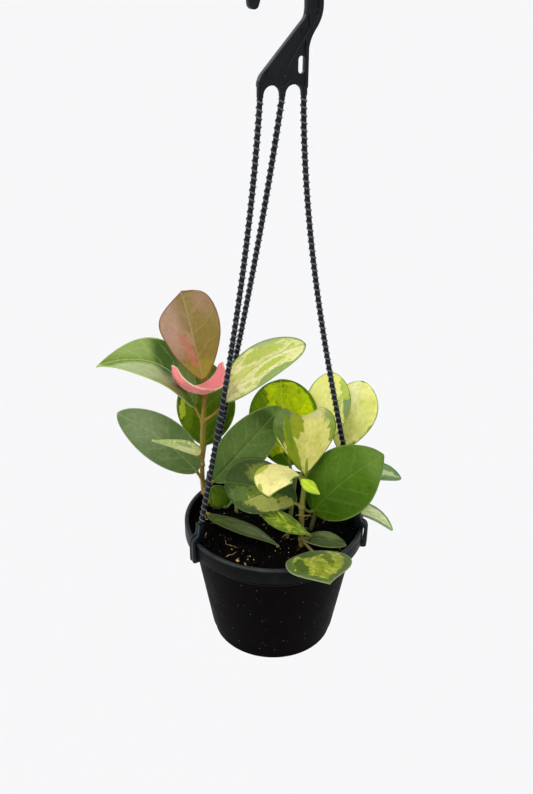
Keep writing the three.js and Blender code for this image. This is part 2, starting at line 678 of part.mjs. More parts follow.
// ---------------------------------------------------------------- assembly
const hoya = new THREE.Group();
hoya.position.z = -HOOK.seatHeight;

hoya.add(piece('pot', potGeometry(), material(0x222427, 0.6)));
hoya.add(piece('soil', soilGeometry(), material(0x1c1714, 0.95)));

const hanger = new THREE.Group();
hanger.add(piece('hanger_hook', hookGeometry(), blackPlastic()));
STRANDS.forEach((spec, index) => {
  hanger.add(piece(spec.name, strandGeometry(spec, HOOK.strandOffsets[index]), blackPlastic()));
});
hoya.add(hanger);

const plant = new THREE.Group();
VINES.forEach((vine, index) => {
  plant.add(piece(vine.name, vineGeometry(vine, index), material(0x7d7a3c, 0.6)));
});
LEAVES.forEach((leaf) => {
  plant.add(piece(leaf.name, bladeGeometry(leaf), material(leaf.color ?? 0x3f6b2c, 0.45)));
});
hoya.add(plant);

export default hoya;
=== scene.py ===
"""Looks of a young variegated hoya in a black hanging pot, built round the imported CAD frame.

All sizes in this file are millimetres in the maker's frame, whose origin is the middle of the plane
of the pot's rim. `place` turns them to metres in the object's frame, whose origin is the seat of the
hook. The front of the plant looks towards -Y.
"""

import logging
import math
import random
from bisect import bisect_right
from contextlib import contextmanager
from dataclasses import dataclass, field, replace
from enum import Enum
from functools import partial
from typing import Callable, Iterable, Iterator, Sequence, Union

import bpy
from mathutils import Matrix, Vector, noise

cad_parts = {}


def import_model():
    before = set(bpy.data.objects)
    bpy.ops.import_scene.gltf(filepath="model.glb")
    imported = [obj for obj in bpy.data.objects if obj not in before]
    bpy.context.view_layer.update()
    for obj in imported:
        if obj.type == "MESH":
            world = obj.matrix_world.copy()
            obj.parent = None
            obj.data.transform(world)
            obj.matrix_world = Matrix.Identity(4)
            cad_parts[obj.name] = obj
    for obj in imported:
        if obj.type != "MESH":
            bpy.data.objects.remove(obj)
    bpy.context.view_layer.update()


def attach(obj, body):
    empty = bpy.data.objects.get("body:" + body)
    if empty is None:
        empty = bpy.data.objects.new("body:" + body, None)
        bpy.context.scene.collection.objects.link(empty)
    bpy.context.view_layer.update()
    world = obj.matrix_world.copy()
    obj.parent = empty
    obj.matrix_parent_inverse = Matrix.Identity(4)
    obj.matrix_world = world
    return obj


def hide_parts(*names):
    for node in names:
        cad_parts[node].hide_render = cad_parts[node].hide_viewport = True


log = logging.getLogger("hoya")

Pair = tuple[float, float]
Point = tuple[float, float, float]
Piece = bpy.types.Object
Material = bpy.types.Material
Source = Union[bpy.types.Node, bpy.types.NodeSocket]
Setting = Union[float, int, str, tuple, Source]
Adder = Callable[..., bpy.types.Node]  # add_node, bound to a tree

SEAT_HEIGHT = 314.5  # from the plane of the rim up to the seat of the hook
STRAND_TOP = 257.4  # where the strands leave the hook plate
PLATE_TURN = 26.0  # degrees that the hook plate is turned about the upright axis
VEIN_PITCH = 6.5  # how far apart the side veins of a leaf leave its midrib
MM = 0.001


# ------------------------------------------------------------------------------------ shared helpers
def place(point: Sequence[float]) -> Vector:
    """Turn a point in millimetres over the rim into metres below the hook's seat."""
    return Vector((point[0] * MM, point[1] * MM, (point[2] - SEAT_HEIGHT) * MM))


def limited(value: float) -> float:
    """Keep a value between nought and one."""
    return min(1.0, max(0.0, value))


def linear(code: str) -> tuple[float, float, float, float]:
    """Turn an sRGB colour, #rrggbb, into linear red, green and blue with an alpha of one."""
    channels = [int(code[start : start + 2], 16) / 255 for start in (1, 3, 5)]
    turned = [c / 12.92 if c <= 0.04045 else ((c + 0.055) / 1.055) ** 2.4 for c in channels]
    return (turned[0], turned[1], turned[2], 1.0)


def add_node(
    tree: bpy.types.NodeTree, kind: str, sockets: dict[Union[int, str], Setting] | None = None, **settings: Setting
) -> bpy.types.Node:
    """Add a node with its settings, its values and its links.

    Args:
        tree: the node tree.
        kind: the node's type, without the word ShaderNode.
        sockets: input name or number to a value, to the output that feeds it, or to the node whose
            first enabled output feeds it.
        settings: the node's own settings.

    Returns:
        The node.
    """
    made = tree.nodes.new(f"ShaderNode{kind}")
    for name, value in settings.items():
        setattr(made, name, value)
    for key, value in (sockets or {}).items():
        if isinstance(value, bpy.types.Node):
            value = next(output for output in value.outputs if output.enabled)
        if isinstance(value, bpy.types.NodeSocket):
            tree.links.new(value, made.inputs[key])
        else:
            made.inputs[key].default_value = value
    return made


def new_material(name: str) -> tuple[Material, Adder]:
    """Make an empty node material, and return it with `add_node` bound to its tree."""
    made = bpy.data.materials.new(name)
    made.use_nodes = True
    made.node_tree.nodes.clear()
    return made, partial(add_node, made.node_tree)


def select_only(piece: Piece) -> None:
    """Make one object the selected and active one."""
    bpy.ops.object.select_all(action="DESELECT")
    piece.select_set(True)
    bpy.context.view_layer.objects.active = piece


@contextmanager
def editing(piece: Piece) -> Iterator[None]:
    """Edit a piece's mesh, at first with all of it selected."""
    select_only(piece)
    bpy.ops.object.mode_set(mode="EDIT")
    bpy.ops.mesh.select_all(action="SELECT")
    yield
    bpy.ops.object.mode_set(mode="OBJECT")


def select_open_edges() -> None:
    """Select the open edges of the mesh that is edited."""
    bpy.ops.mesh.select_mode(type="EDGE")
    bpy.ops.mesh.select_all(action="DESELECT")
    bpy.ops.mesh.select_non_manifold()


def start_fresh() -> None:
    """Deselect everything before a new primitive is added."""
    bpy.ops.object.select_all(action="DESELECT")


def added(name: str) -> Piece:
    """Name the primitive that was just added, and return it."""
    piece = bpy.context.object
    piece.name = name
    piece.data.name = name
    return piece


def apply_place(piece: Piece) -> None:
    """Move a piece's place into its mesh."""
    select_only(piece)
    bpy.ops.object.transform_apply(location=True, rotation=True, scale=True)


def set_on_rim(piece: Piece, degrees: float) -> None:
    """Turn a piece about the upright axis, and lower its origin from the seat to the rim's plane."""
    piece.rotation_euler = (0, 0, math.radians(degrees))
    piece.location = (0, 0, -SEAT_HEIGHT * MM)
    apply_place(piece)


def finish_modifiers(piece: Piece) -> None:
    """Apply all modifiers of a piece, in their order."""
    select_only(piece)
    for modifier in list(piece.modifiers):
        bpy.ops.object.modifier_apply(modifier=modifier.name)


def face_outwards(piece: Piece) -> None:
    """Merge doubles and turn all faces outwards."""
    with editing(piece):
        bpy.ops.mesh.remove_doubles(threshold=1e-6)
        bpy.ops.mesh.normals_make_consistent(inside=False)


def smooth(piece: Piece, degrees: float) -> None:
    """Shade a piece smooth, but for its edges sharper than an angle."""
    select_only(piece)
    bpy.ops.object.shade_smooth_by_angle(angle=math.radians(degrees))


def dress(piece: Piece, *materials: Material) -> None:
    """Give a piece its materials, in the order of its slots."""
    piece.data.materials.clear()
    for material in materials:
        piece.data.materials.append(material)


def store(piece: Piece, name: str, values: Sequence[float], vectors: bool = False) -> None:
    """Store numbers, or vectors, on the vertices of a piece for its material to read."""
    stored = piece.data.attributes.new(name, "FLOAT_VECTOR" if vectors else "FLOAT", "POINT")
    stored.data.foreach_set("vector" if vectors else "value", values)


def mesh_piece(name: str, points: Sequence[Vector], faces: Sequence[Sequence[int]]) -> Piece:
    """Make a mesh object, linked to the scene, from points in metres and the vertices of each face."""
    mesh = bpy.data.meshes.new(name)
    mesh.from_pydata([tuple(point) for point in points], [], [tuple(face) for face in faces])
    mesh.update()
    piece = bpy.data.objects.new(name, mesh)
    bpy.context.scene.collection.objects.link(piece)
    return piece


def join(pieces: Sequence[Piece], name: str) -> Piece:
    """Join meshes into the first of them, and give it a name."""
    start_fresh()
    for piece in pieces:
        piece.select_set(True)
    bpy.context.view_layer.objects.active = pieces[0]
    bpy.ops.object.join()
    return added(name)


def carve(piece: Piece, cutter: Piece) -> None:
    """Cut one solid out of another and remove the cutter."""
    modifier = piece.modifiers.new("cut", "BOOLEAN")
    modifier.operation = "DIFFERENCE"
    modifier.solver = "EXACT"
    modifier.object = cutter
    finish_modifiers(piece)
    bpy.data.objects.remove(cutter)


def round_edges(piece: Piece, width: float, degrees: float = 35, finish: int = -1) -> None:
    """Round a piece's sharp edges, after the modifiers that it has already.

    Args:
        piece: the mesh object.
        width: the bevel's width in millimetres.
        degrees: edges sharper than this are rounded.
        finish: the material slot of the rounded edges; -1 leaves them as their neighbours are.
    """
    bevel = piece.modifiers.new("rounded", "BEVEL")
    bevel.width = width * MM
    bevel.segments = 2
    bevel.limit_method = "ANGLE"
    bevel.angle_limit = math.radians(degrees)
    bevel.material = finish
    finish_modifiers(piece)


def tube(name: str, path: Iterable[Sequence[float]], radii: Sequence[float], sides: int) -> Piece:
    """A round tube along a path, with closed ends, made from a bevelled curve.

    Args:
        name: the piece's name.
        path: points in millimetres.
        radii: the radius at each point in millimetres.
        sides: corners of the section; a multiple of four.

    Returns:
        The mesh object.
    """
    curve = bpy.data.curves.new(name, "CURVE")
    curve.dimensions = "3D"
    curve.bevel_depth = MM
    curve.bevel_resolution = sides // 4 - 1
    curve.use_fill_caps = True
    spline = curve.splines.new("POLY")
    spline.points.add(len(radii) - 1)
    for knot, point, radius in zip(spline.points, path, radii):
        knot.co = (*place(point), 1)
        knot.radius = radius
    piece = bpy.data.objects.new(name, curve)
    bpy.context.scene.collection.objects.link(piece)
    select_only(piece)
    bpy.ops.object.convert(target="MESH")
    return added(name)


def settle(piece: Piece, slot: str, *nodes: str) -> None:
    """Let a finished piece ride on the object, and hide the CAD nodes it stands for and name them in the log."""
    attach(piece, "root")
    if nodes:
        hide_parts(*nodes)
    log.info("%s: %d faces, stands for %s", piece.name, len(piece.data.polygons), ", ".join(nodes) or "-")


# ------------------------------------------------------------------------------------ finishes
@dataclass(frozen=True)
class BlackPolypropylene:
    """Injection-moulded black polypropylene: satin, nearly black, with fine scuffs and dust on it."""

    name: str
    body: str
    worn: str
    mirror: float  # the paper round it is white on every side, so little of it is mirrored
    dust: str = "#8d8a84"
    # the paler colour of the painted highlight on the ridge tops
    edge: str = "#55585b"
    roughness: float = 0.46
    dust_amount: float = 0.35
    scratch: float = 0.25
    painted_ridges: bool = False  # whether the ridges marked in the attribute "ridge" get the painted highlight

    def material(self) -> Material:
        """Build the material: a satin plastic with a faint orange-peel skin, scuffs and specks."""
        made, node = new_material(self.name)
        spot = node("TexCoord").outputs["Object"]
        # handling marks: soft clouds about 12 mm across, paler where the skin is rubbed
        clouds = node("TexNoise", {"Vector": spot, "Scale": 80.0, "Detail": 5.0, "Roughness": 0.6})
        rubbed = node("MapRange", {0: clouds, 1: 0.45, 2: 0.75, 4: 0.75}, interpolation_type="SMOOTHSTEP")
        color = node("Mix", {0: rubbed, 6: linear(self.body), 7: linear(self.worn)}, data_type="RGBA")
        # dust: specks of 0.3 mm, drawn a little larger than life so that they show
        cells = node("TexVoronoi", {"Vector": spot, "Scale": 520.0}).outputs
        speck = node("MapRange", {0: cells["Distance"], 1: 0.14, 2: 0.07})
        chance = node("SeparateColor", {0: cells["Color"]})
        rare = node("Math", {0: chance, 1: 1.0 - 0.05 * self.dust_amount}, operation="GREATER_THAN")
        dusty = node("Math", {0: speck, 1: rare}, operation="MULTIPLY")
        color = node("Mix", {0: dusty, 6: color, 7: linear(self.dust)}, data_type="RGBA")
        # fine scratches 0.2 mm wide that run round the wall
        stretched = node("Mapping", {0: spot, 3: (40.0, 40.0, 900.0)})
        lines = node("TexNoise", {"Vector": stretched, "Scale": 1.0, "Detail": 3.0, "Distortion": 0.6})
        scratch = node("MapRange", {0: lines, 1: 0.64, 2: 0.72, 4: self.scratch})
        color = node("Mix", {0: scratch, 6: color, 7: linear(self.worn)}, data_type="RGBA")
        # painted highlight: the ridge tops are drawn paler, as if they caught the light from above
        if self.painted_ridges:
            ridge = node("Attribute", attribute_name="ridge").outputs["Fac"]
            color = node("Mix", {0: ridge, 6: color, 7: linear(self.edge)}, data_type="RGBA")
        rough = node("MapRange", {0: clouds, 1: 0.2, 2: 0.8, 3: self.roughness - 0.07, 4: self.roughness + 0.12})
        # the mould's spark-eroded skin: 0.25 mm grain
        grain = node("TexNoise", {"Vector": spot, "Scale": 2600.0})
        bump = node("Bump", {"Strength": 0.1, "Distance": 0.15 * MM, "Height": grain})
        plastic = {"Base Color": color, "Roughness": rough, "IOR": 1.49, "Normal": bump}
        plastic |= {"Specular IOR Level": self.mirror}
        node("OutputMaterial", {0: node("BsdfPrincipled", plastic)})
        return made


@dataclass(frozen=True)
class BarkMix:
    """Moist bark and peat potting mix: almost black, with brown crumbs; matt, but damp in places."""

    name: str = "potting_mix_bark_and_peat"
    dark: str = "#020202"
    brown: str = "#0b0907"

    def material(self) -> Material:
        """Build the material: a dark crumbly surface with a damp shine in the hollows."""
        made, node = new_material(self.name)
        spot = node("TexCoord").outputs["Object"]
        # crumbs of 2 mm down to dust
        crumbs = node("TexNoise", {"Vector": spot, "Scale": 450.0, "Detail": 8.0, "Roughness": 0.7})
        share = node("MapRange", {0: crumbs, 1: 0.42, 2: 0.68})
        color = node("Mix", {0: share, 6: linear(self.dark), 7: linear(self.brown)}, data_type="RGBA")
        rough = node("MapRange", {0: crumbs, 1: 0.3, 2: 0.7, 3: 0.62, 4: 0.95})
        bump = node("Bump", {"Strength": 0.8, "Distance": 0.6 * MM, "Height": crumbs})
        soil = {"Base Color": color, "Roughness": rough, "Specular IOR Level": 0.04, "Normal": bump}
        node("OutputMaterial", {0: node("BsdfPrincipled", soil)})
        return made


@dataclass(frozen=True)
class BarkChip:
    """Loose chips of bark, coir and root on the mix. Each chip's tone is stored on it."""

    name: str = "bark_chips_and_fibres"
    tones: tuple[str, ...] = ("#030303", "#0a0806", "#1e160d", "#6b5530", "#c2a86c")

    def material(self) -> Material:
        """Build the material: matt chips from near black to pale tan, by the attribute "tone"."""
        made, node = new_material(self.name)
        tone = node("Attribute", attribute_name="tone").outputs["Fac"]
        spot = node("TexCoord").outputs["Object"]
        # a mottle of 0.7 mm
        mottle = node("TexNoise", {"Vector": spot, "Scale": 1500.0, "Detail": 3.0})
        drift = node("MapRange", {0: mottle, 1: 0.3, 2: 0.7, 3: -0.12, 4: 0.12})
        ramp = node("ValToRGB", {0: node("Math", {0: tone, 1: drift}, operation="ADD")})
        stops = ramp.color_ramp.elements
        for index, code in enumerate(self.tones):
            level = index / (len(self.tones) - 1)
            # a new ramp has two stops, the first two that are used here
            if index < 2:
                stops[index].position = level
            else:
                stops.new(level)
            stops[index].color = linear(code)
        shader = node("BsdfPrincipled", {"Base Color": ramp, "Roughness": 0.82, "Specular IOR Level": 0.05})
        node("OutputMaterial", {0: shader})
        return made


@dataclass(frozen=True)
class YoungHoyaStem:
    """Green stem of a young hoya that turns brown and corky with age, from the soil upwards."""

    name: str
    young: str
    old: str
    blush: str = "#8f5a35"
    old_until: float = 40.0  # how far up the brown reaches, over the soil
    blush_from: float = 300.0  # how far over the rim the reddish part starts; the default is none

    def material(self) -> Material:
        """Build the material: a soft satin skin, brown below, olive above, with fine stripes along it."""
        made, node = new_material(self.name)
        spot = node("TexCoord").outputs["Object"]
        height = node("SeparateXYZ", {0: spot}).outputs[2]
        # the change of colour wanders up and down by 12 mm
        patchy = node("TexNoise", {"Vector": spot, "Scale": 140.0, "Detail": 3.0})
        shift = node("MapRange", {0: patchy, 1: 0.3, 2: 0.7, 3: -12 * MM, 4: 12 * MM})
        level = node("Math", {0: height, 1: shift}, operation="ADD")
        foot, top = -(SEAT_HEIGHT + 8) * MM, (self.blush_from - SEAT_HEIGHT) * MM
        brown = {0: level, 1: foot, 2: foot + self.old_until * MM, 3: 1.0, 4: 0.12}
        aged = node("MapRange", brown, interpolation_type="SMOOTHSTEP")
        color = node("Mix", {0: aged, 6: linear(self.young), 7: linear(self.old)}, data_type="RGBA")
        flushed = node("MapRange", {0: level, 1: top, 2: top + 12 * MM, 4: 0.8}, interpolation_type="SMOOTHSTEP")
        color = node("Mix", {0: flushed, 6: color, 7: linear(self.blush)}, data_type="RGBA")
        # fibres under the skin: stripes 0.5 mm wide that run up the stem
        stretched = node("Mapping", {0: spot, 3: (1900.0, 1900.0, 90.0)})
        stripes = node("TexNoise", {"Vector": stretched, "Scale": 1.0, "Detail": 3.0})
        dark = node("MapRange", {0: stripes, 1: 0.45, 2: 0.7, 3: 1.06, 4: 0.74})
        color = node("VectorMath", {0: color, "Scale": dark}, operation="SCALE")
        bump = node("Bump", {"Strength": 0.35, "Distance": 0.2 * MM, "Height": stripes})
        bark = {"Base Color": color, "Roughness": 0.5, "Subsurface Weight": 0.12, "Normal": bump}
        bark |= {"Subsurface Radius": (0.9, 0.7, 0.25), "Subsurface Scale": MM}
        node("OutputMaterial", {0: node("BsdfPrincipled", bark)})
        return made


@dataclass(frozen=True)
class Patch:
    """A patch of another colour on a blade: an ellipse with a ragged edge."""

    at: Pair  # share of the half width, -1 to 1, and share of the length from the base
    half: Pair  # half sizes in millimetres, across and along
    tone: str
    turn: float = 0.0  # degrees that its long axis leans towards the positive side
    ragged: float = 0.5
    soft: float = 0.08
    strength: float = 1.0


@dataclass(frozen=True)
class HoyaSkin:
    """Thick waxy skin of a hoya leaf, with its variegation.

    The blade stores where each point lies on it in the attribute "blade": millimetres across from the
    midrib, millimetres along from the base and millimetres in from the margin.
    """

    heart: str  # the middle of the blade
    shade: str  # what the middle drifts to
    margin: str
    margin_width: float
    under: str
    margin_ragged: float = 2.0
    stroke: str = "#8fb23c"
    stroke_share: float = 0.0
    stroke_grain: Pair = (3.2, 14.0)
    lean: float = 1.1  # how steeply the side veins leave the midrib
    vein: str = "#9fbf6a"
    vein_strength: float = 0.35
    midrib_strength: float = 0.6
    rim: str = "#7f9a58"
    rim_strength: float = 0.4
    fleck: float = 0.5
    mottle: float = 0.14
    under_share: float = 0.55
    roughness: float = 0.4
    gloss: float = 0.2  # how much the wax mirrors
    bloom: float = 0.0  # the pale, waxy sheen
    glow: float = 0.1  # light that passes through the flesh
    patches: tuple[Patch, ...] = ()

    def material(self, name: str, length: float, width: float, seed: float, below: bool) -> Material:
        """Build the skin of one face of a blade: satin wax over veins, margin, strokes, patches and flecks.

        Args:
            name: the material's name.
            length: the blade's length in millimetres.
            width: its width in millimetres.
            seed: where in the noise this blade lies.
            below: whether this is the lower face.

        Returns:
            The material.
        """
        made, node = new_material(name)
        spot = node("Attribute", attribute_name="blade").outputs["Vector"]
        across, along, inwards = node("SeparateXYZ", {0: spot}).outputs
        away = node("Math", {0: across}, operation="ABSOLUTE")
        climb = node("Math", {0: away, 1: self.lean}, operation="MULTIPLY")
        fan = node("Math", {0: along, 1: climb}, operation="SUBTRACT")
        # streaks run along the side veins; their grain is given in millimetres
        grained = [
            node("Math", {0: value, 1: 1.0 / grain}, operation="MULTIPLY")
            for value, grain in zip((fan, across), self.stroke_grain)
        ]
        # the two halves of a blade differ
        half = node("Math", {0: across, 1: 0.0}, operation="GREATER_THAN")
        apart = node("Math", {0: half, 1: 4.7, 2: seed}, operation="MULTIPLY_ADD")
        streaked = node("CombineXYZ", {0: grained[0], 1: grained[1], 2: apart})
        streak = node("TexNoise", {"Vector": streaked, "Scale": 1.0, "Detail": 2.5, "Distortion": 0.7})
        seeded = node("VectorMath", {0: spot, 1: (seed * 7, seed * 3, 0)})
        torn = node("TexNoise", {"Vector": seeded, "Scale": 0.26})
        blended = node("Mix", {0: 0.5, 2: streak, 3: torn})
        centred = node("Math", {0: blended, 1: 0.5}, operation="SUBTRACT")
        cloud = node("TexNoise", {"Vector": seeded, "Scale": 0.09, "Detail": 3.0, "Roughness": 0.55})
        drift = node("MapRange", {0: cloud, 1: 0.36, 2: 0.64}, interpolation_type="SMOOTHSTEP")
        color = node("Mix", {0: drift, 6: linear(self.heart), 7: linear(self.shade)}, data_type="RGBA")
        if self.stroke_share > 0:
            edge = 0.62 - 0.24 * self.stroke_share
            mask = node("MapRange", {0: blended, 1: edge - 0.02, 2: edge + 0.07})
            color = node("Mix", {0: mask, 6: color, 7: linear(self.stroke)}, data_type="RGBA")
        for patch in self.patches:
            color = self.patched(node, patch, color, spot, centred, (width / 2, length))
        wander = node("Math", {0: centred, 1: self.margin_ragged * 3.2}, operation="MULTIPLY")
        depth = node("Math", {0: inwards, 1: wander}, operation="ADD")
        mask = node("MapRange", {0: depth, 1: self.margin_width - 0.3, 2: self.margin_width + 0.3, 3: 1.0, 4: 0.0})
        color = node("Mix", {0: mask, 6: color, 7: linear(self.margin)}, data_type="RGBA")
        color = self.veined(node, color, away, fan, inwards, cloud)
        # the flesh is never one even tone: soft blotches of 3 mm, with finer ones in them
        blotch = node("TexNoise", {"Vector": seeded, "Scale": 0.33, "Detail": 5.0, "Roughness": 0.6})
        value = node("MapRange", {0: blotch, 1: 0.3, 2: 0.7, 3: 1 - self.mottle, 4: 1 + self.mottle})
        color = node("VectorMath", {0: color, "Scale": value}, operation="SCALE")
        # a thin pale or dark rim runs right round the margin
        rim = node("MapRange", {0: inwards, 1: 0.25, 2: 0.75, 3: self.rim_strength, 4: 0.0})
        color = node("Mix", {0: rim, 6: color, 7: linear(self.rim)}, data_type="RGBA")
        # silvery flecks: dots of 0.4 mm, a few on each blade
        cells = node("TexVoronoi", {"Vector": seeded, "Scale": 0.42}).outputs
        dot = node("MapRange", {0: cells["Distance"], 1: 0.13, 2: 0.06, 4: 0.8})
        chance = node("SeparateColor", {0: cells["Color"]})
        rare = node("Math", {0: chance, 1: 1.0 - 0.07 * self.fleck}, operation="GREATER_THAN")
        flecked = node("Math", {0: dot, 1: rare}, operation="MULTIPLY")
        color = node("Mix", {0: flecked, 6: color, 7: linear("#dfe6d4")}, data_type="RGBA")
        if below:
            color = node("Mix", {0: self.under_share, 6: color, 7: linear(self.under)}, data_type="RGBA")
        # wax: broad soft swells of 4 mm and the finest grain of the cells
        swell = node("TexNoise", {"Vector": seeded, "Scale": 0.25})
        grain = node("TexNoise", {"Vector": seeded, "Scale": 3.0})
        height = node("Math", {0: grain, 1: 0.12, 2: swell}, operation="MULTIPLY_ADD")
        bump = node("Bump", {"Strength": 0.35, "Distance": 0.5 * MM, "Height": height})
        rough = node("MapRange", {0: swell, 1: 0.3, 2: 0.7, 3: self.roughness - 0.05, 4: self.roughness + 0.1})
        wax = {"Base Color": color, "Roughness": rough, "IOR": 1.45, "Normal": bump}
        wax |= {"Specular IOR Level": self.gloss, "Specular Tint": linear("#e4ebb8")}
        wax |= {"Subsurface Weight": self.glow, "Subsurface Radius": (0.9, 1.0, 0.3), "Subsurface Scale": 1.2 * MM}
        wax |= {"Sheen Weight": self.bloom, "Sheen Roughness": 0.45, "Sheen Tint": linear("#dfe8e4")}
        node("OutputMaterial", {0: node("BsdfPrincipled", wax)})
        return made

    @staticmethod
    def patched(node: Adder, patch: Patch, color: Source, spot: Source, centred: Source, size: Pair) -> Source:
        """Lay one patch over a colour.

        Args:
            node: adds a node to the tree.
            patch: the patch.
            color: the colour beneath.
            spot: the point on the blade.
            centred: streaky noise about zero, which makes the patch's edge ragged.
            size: the blade's half width and its length in millimetres.

        Returns:
            The new colour.
        """
        turn = math.radians(patch.turn)
        middle = Matrix.Rotation(turn, 3, "Z") @ Vector((patch.at[0] * size[0], patch.at[1] * size[1], 0))
        shifted = node("Mapping", {0: spot, 1: (-middle.x, -middle.y, 0.0), 2: (0.0, 0.0, turn), 3: (1.0, 1.0, 0.0)})
        sized = node("VectorMath", {0: shifted, 1: (*patch.half, 1.0)}, operation="DIVIDE")
        reach = node("VectorMath", {0: sized}, operation="LENGTH")
        frayed = node("Math", {0: centred, 1: 3.2 * patch.ragged, 2: reach}, operation="MULTIPLY_ADD")
        edge = {0: frayed, 1: 1 - patch.soft, 2: 1 + patch.soft, 3: patch.strength, 4: 0.0}
        mask = node("MapRange", edge, interpolation_type="SMOOTHSTEP")
        return node("Mix", {0: mask, 6: color, 7: linear(patch.tone)}, data_type="RGBA")

    def veined(self, node: Adder, color: Source, away: Source, fan: Source, inwards: Source, cloud: Source) -> Source:
        """Draw the midrib and the side veins over a colour.

        Args:
            node: adds a node to the tree.
            color: the colour beneath.
            away: millimetres away from the midrib.
            fan: millimetres along the blade, counted along the side veins.
            inwards: millimetres in from the margin.
            cloud: slow noise, which bends the veins.

        Returns:
            The new colour.
        """
        # side veins leave the midrib every 6.5 mm and fade before the margin
        paced = node("Math", {0: fan, 1: 1 / VEIN_PITCH}, operation="MULTIPLY")
        bent = node("Math", {0: cloud, 1: 1.3, 2: paced}, operation="MULTIPLY_ADD")
        step = node("Math", {0: bent, 1: 1.0}, operation="PINGPONG")
        line = node("MapRange", {0: step, 1: 0.78, 2: 1.0, 4: self.vein_strength}, interpolation_type="SMOOTHSTEP")
        fade = node("MapRange", {0: inwards, 1: 1.0, 2: 6.0})
        faint = node("Math", {0: line, 1: fade}, operation="MULTIPLY")
        # the midrib is 0.9 mm wide
        bar = {0: away, 1: 0.15, 2: 0.8, 3: self.midrib_strength, 4: 0.0}
        rib = node("MapRange", bar, interpolation_type="SMOOTHSTEP")
        both = node("Math", {0: rib, 1: faint}, operation="MAXIMUM")
        return node("Mix", {0: both, 6: color, 7: linear(self.vein)}, data_type="RGBA")


@dataclass(frozen=True)
class PaperWhite:
    """Matt white seamless paper: an even pale ground with no pattern of its own."""

    name: str = "seamless_paper"
    tone: str = "#e2e2e3"

    def material(self) -> Material:
        """Build the material: matt white paper."""
        made, node = new_material(self.name)
        shader = node("BsdfPrincipled", {"Base Color": linear(self.tone), "Roughness": 0.9})
        node("OutputMaterial", {0: shader})
        return made


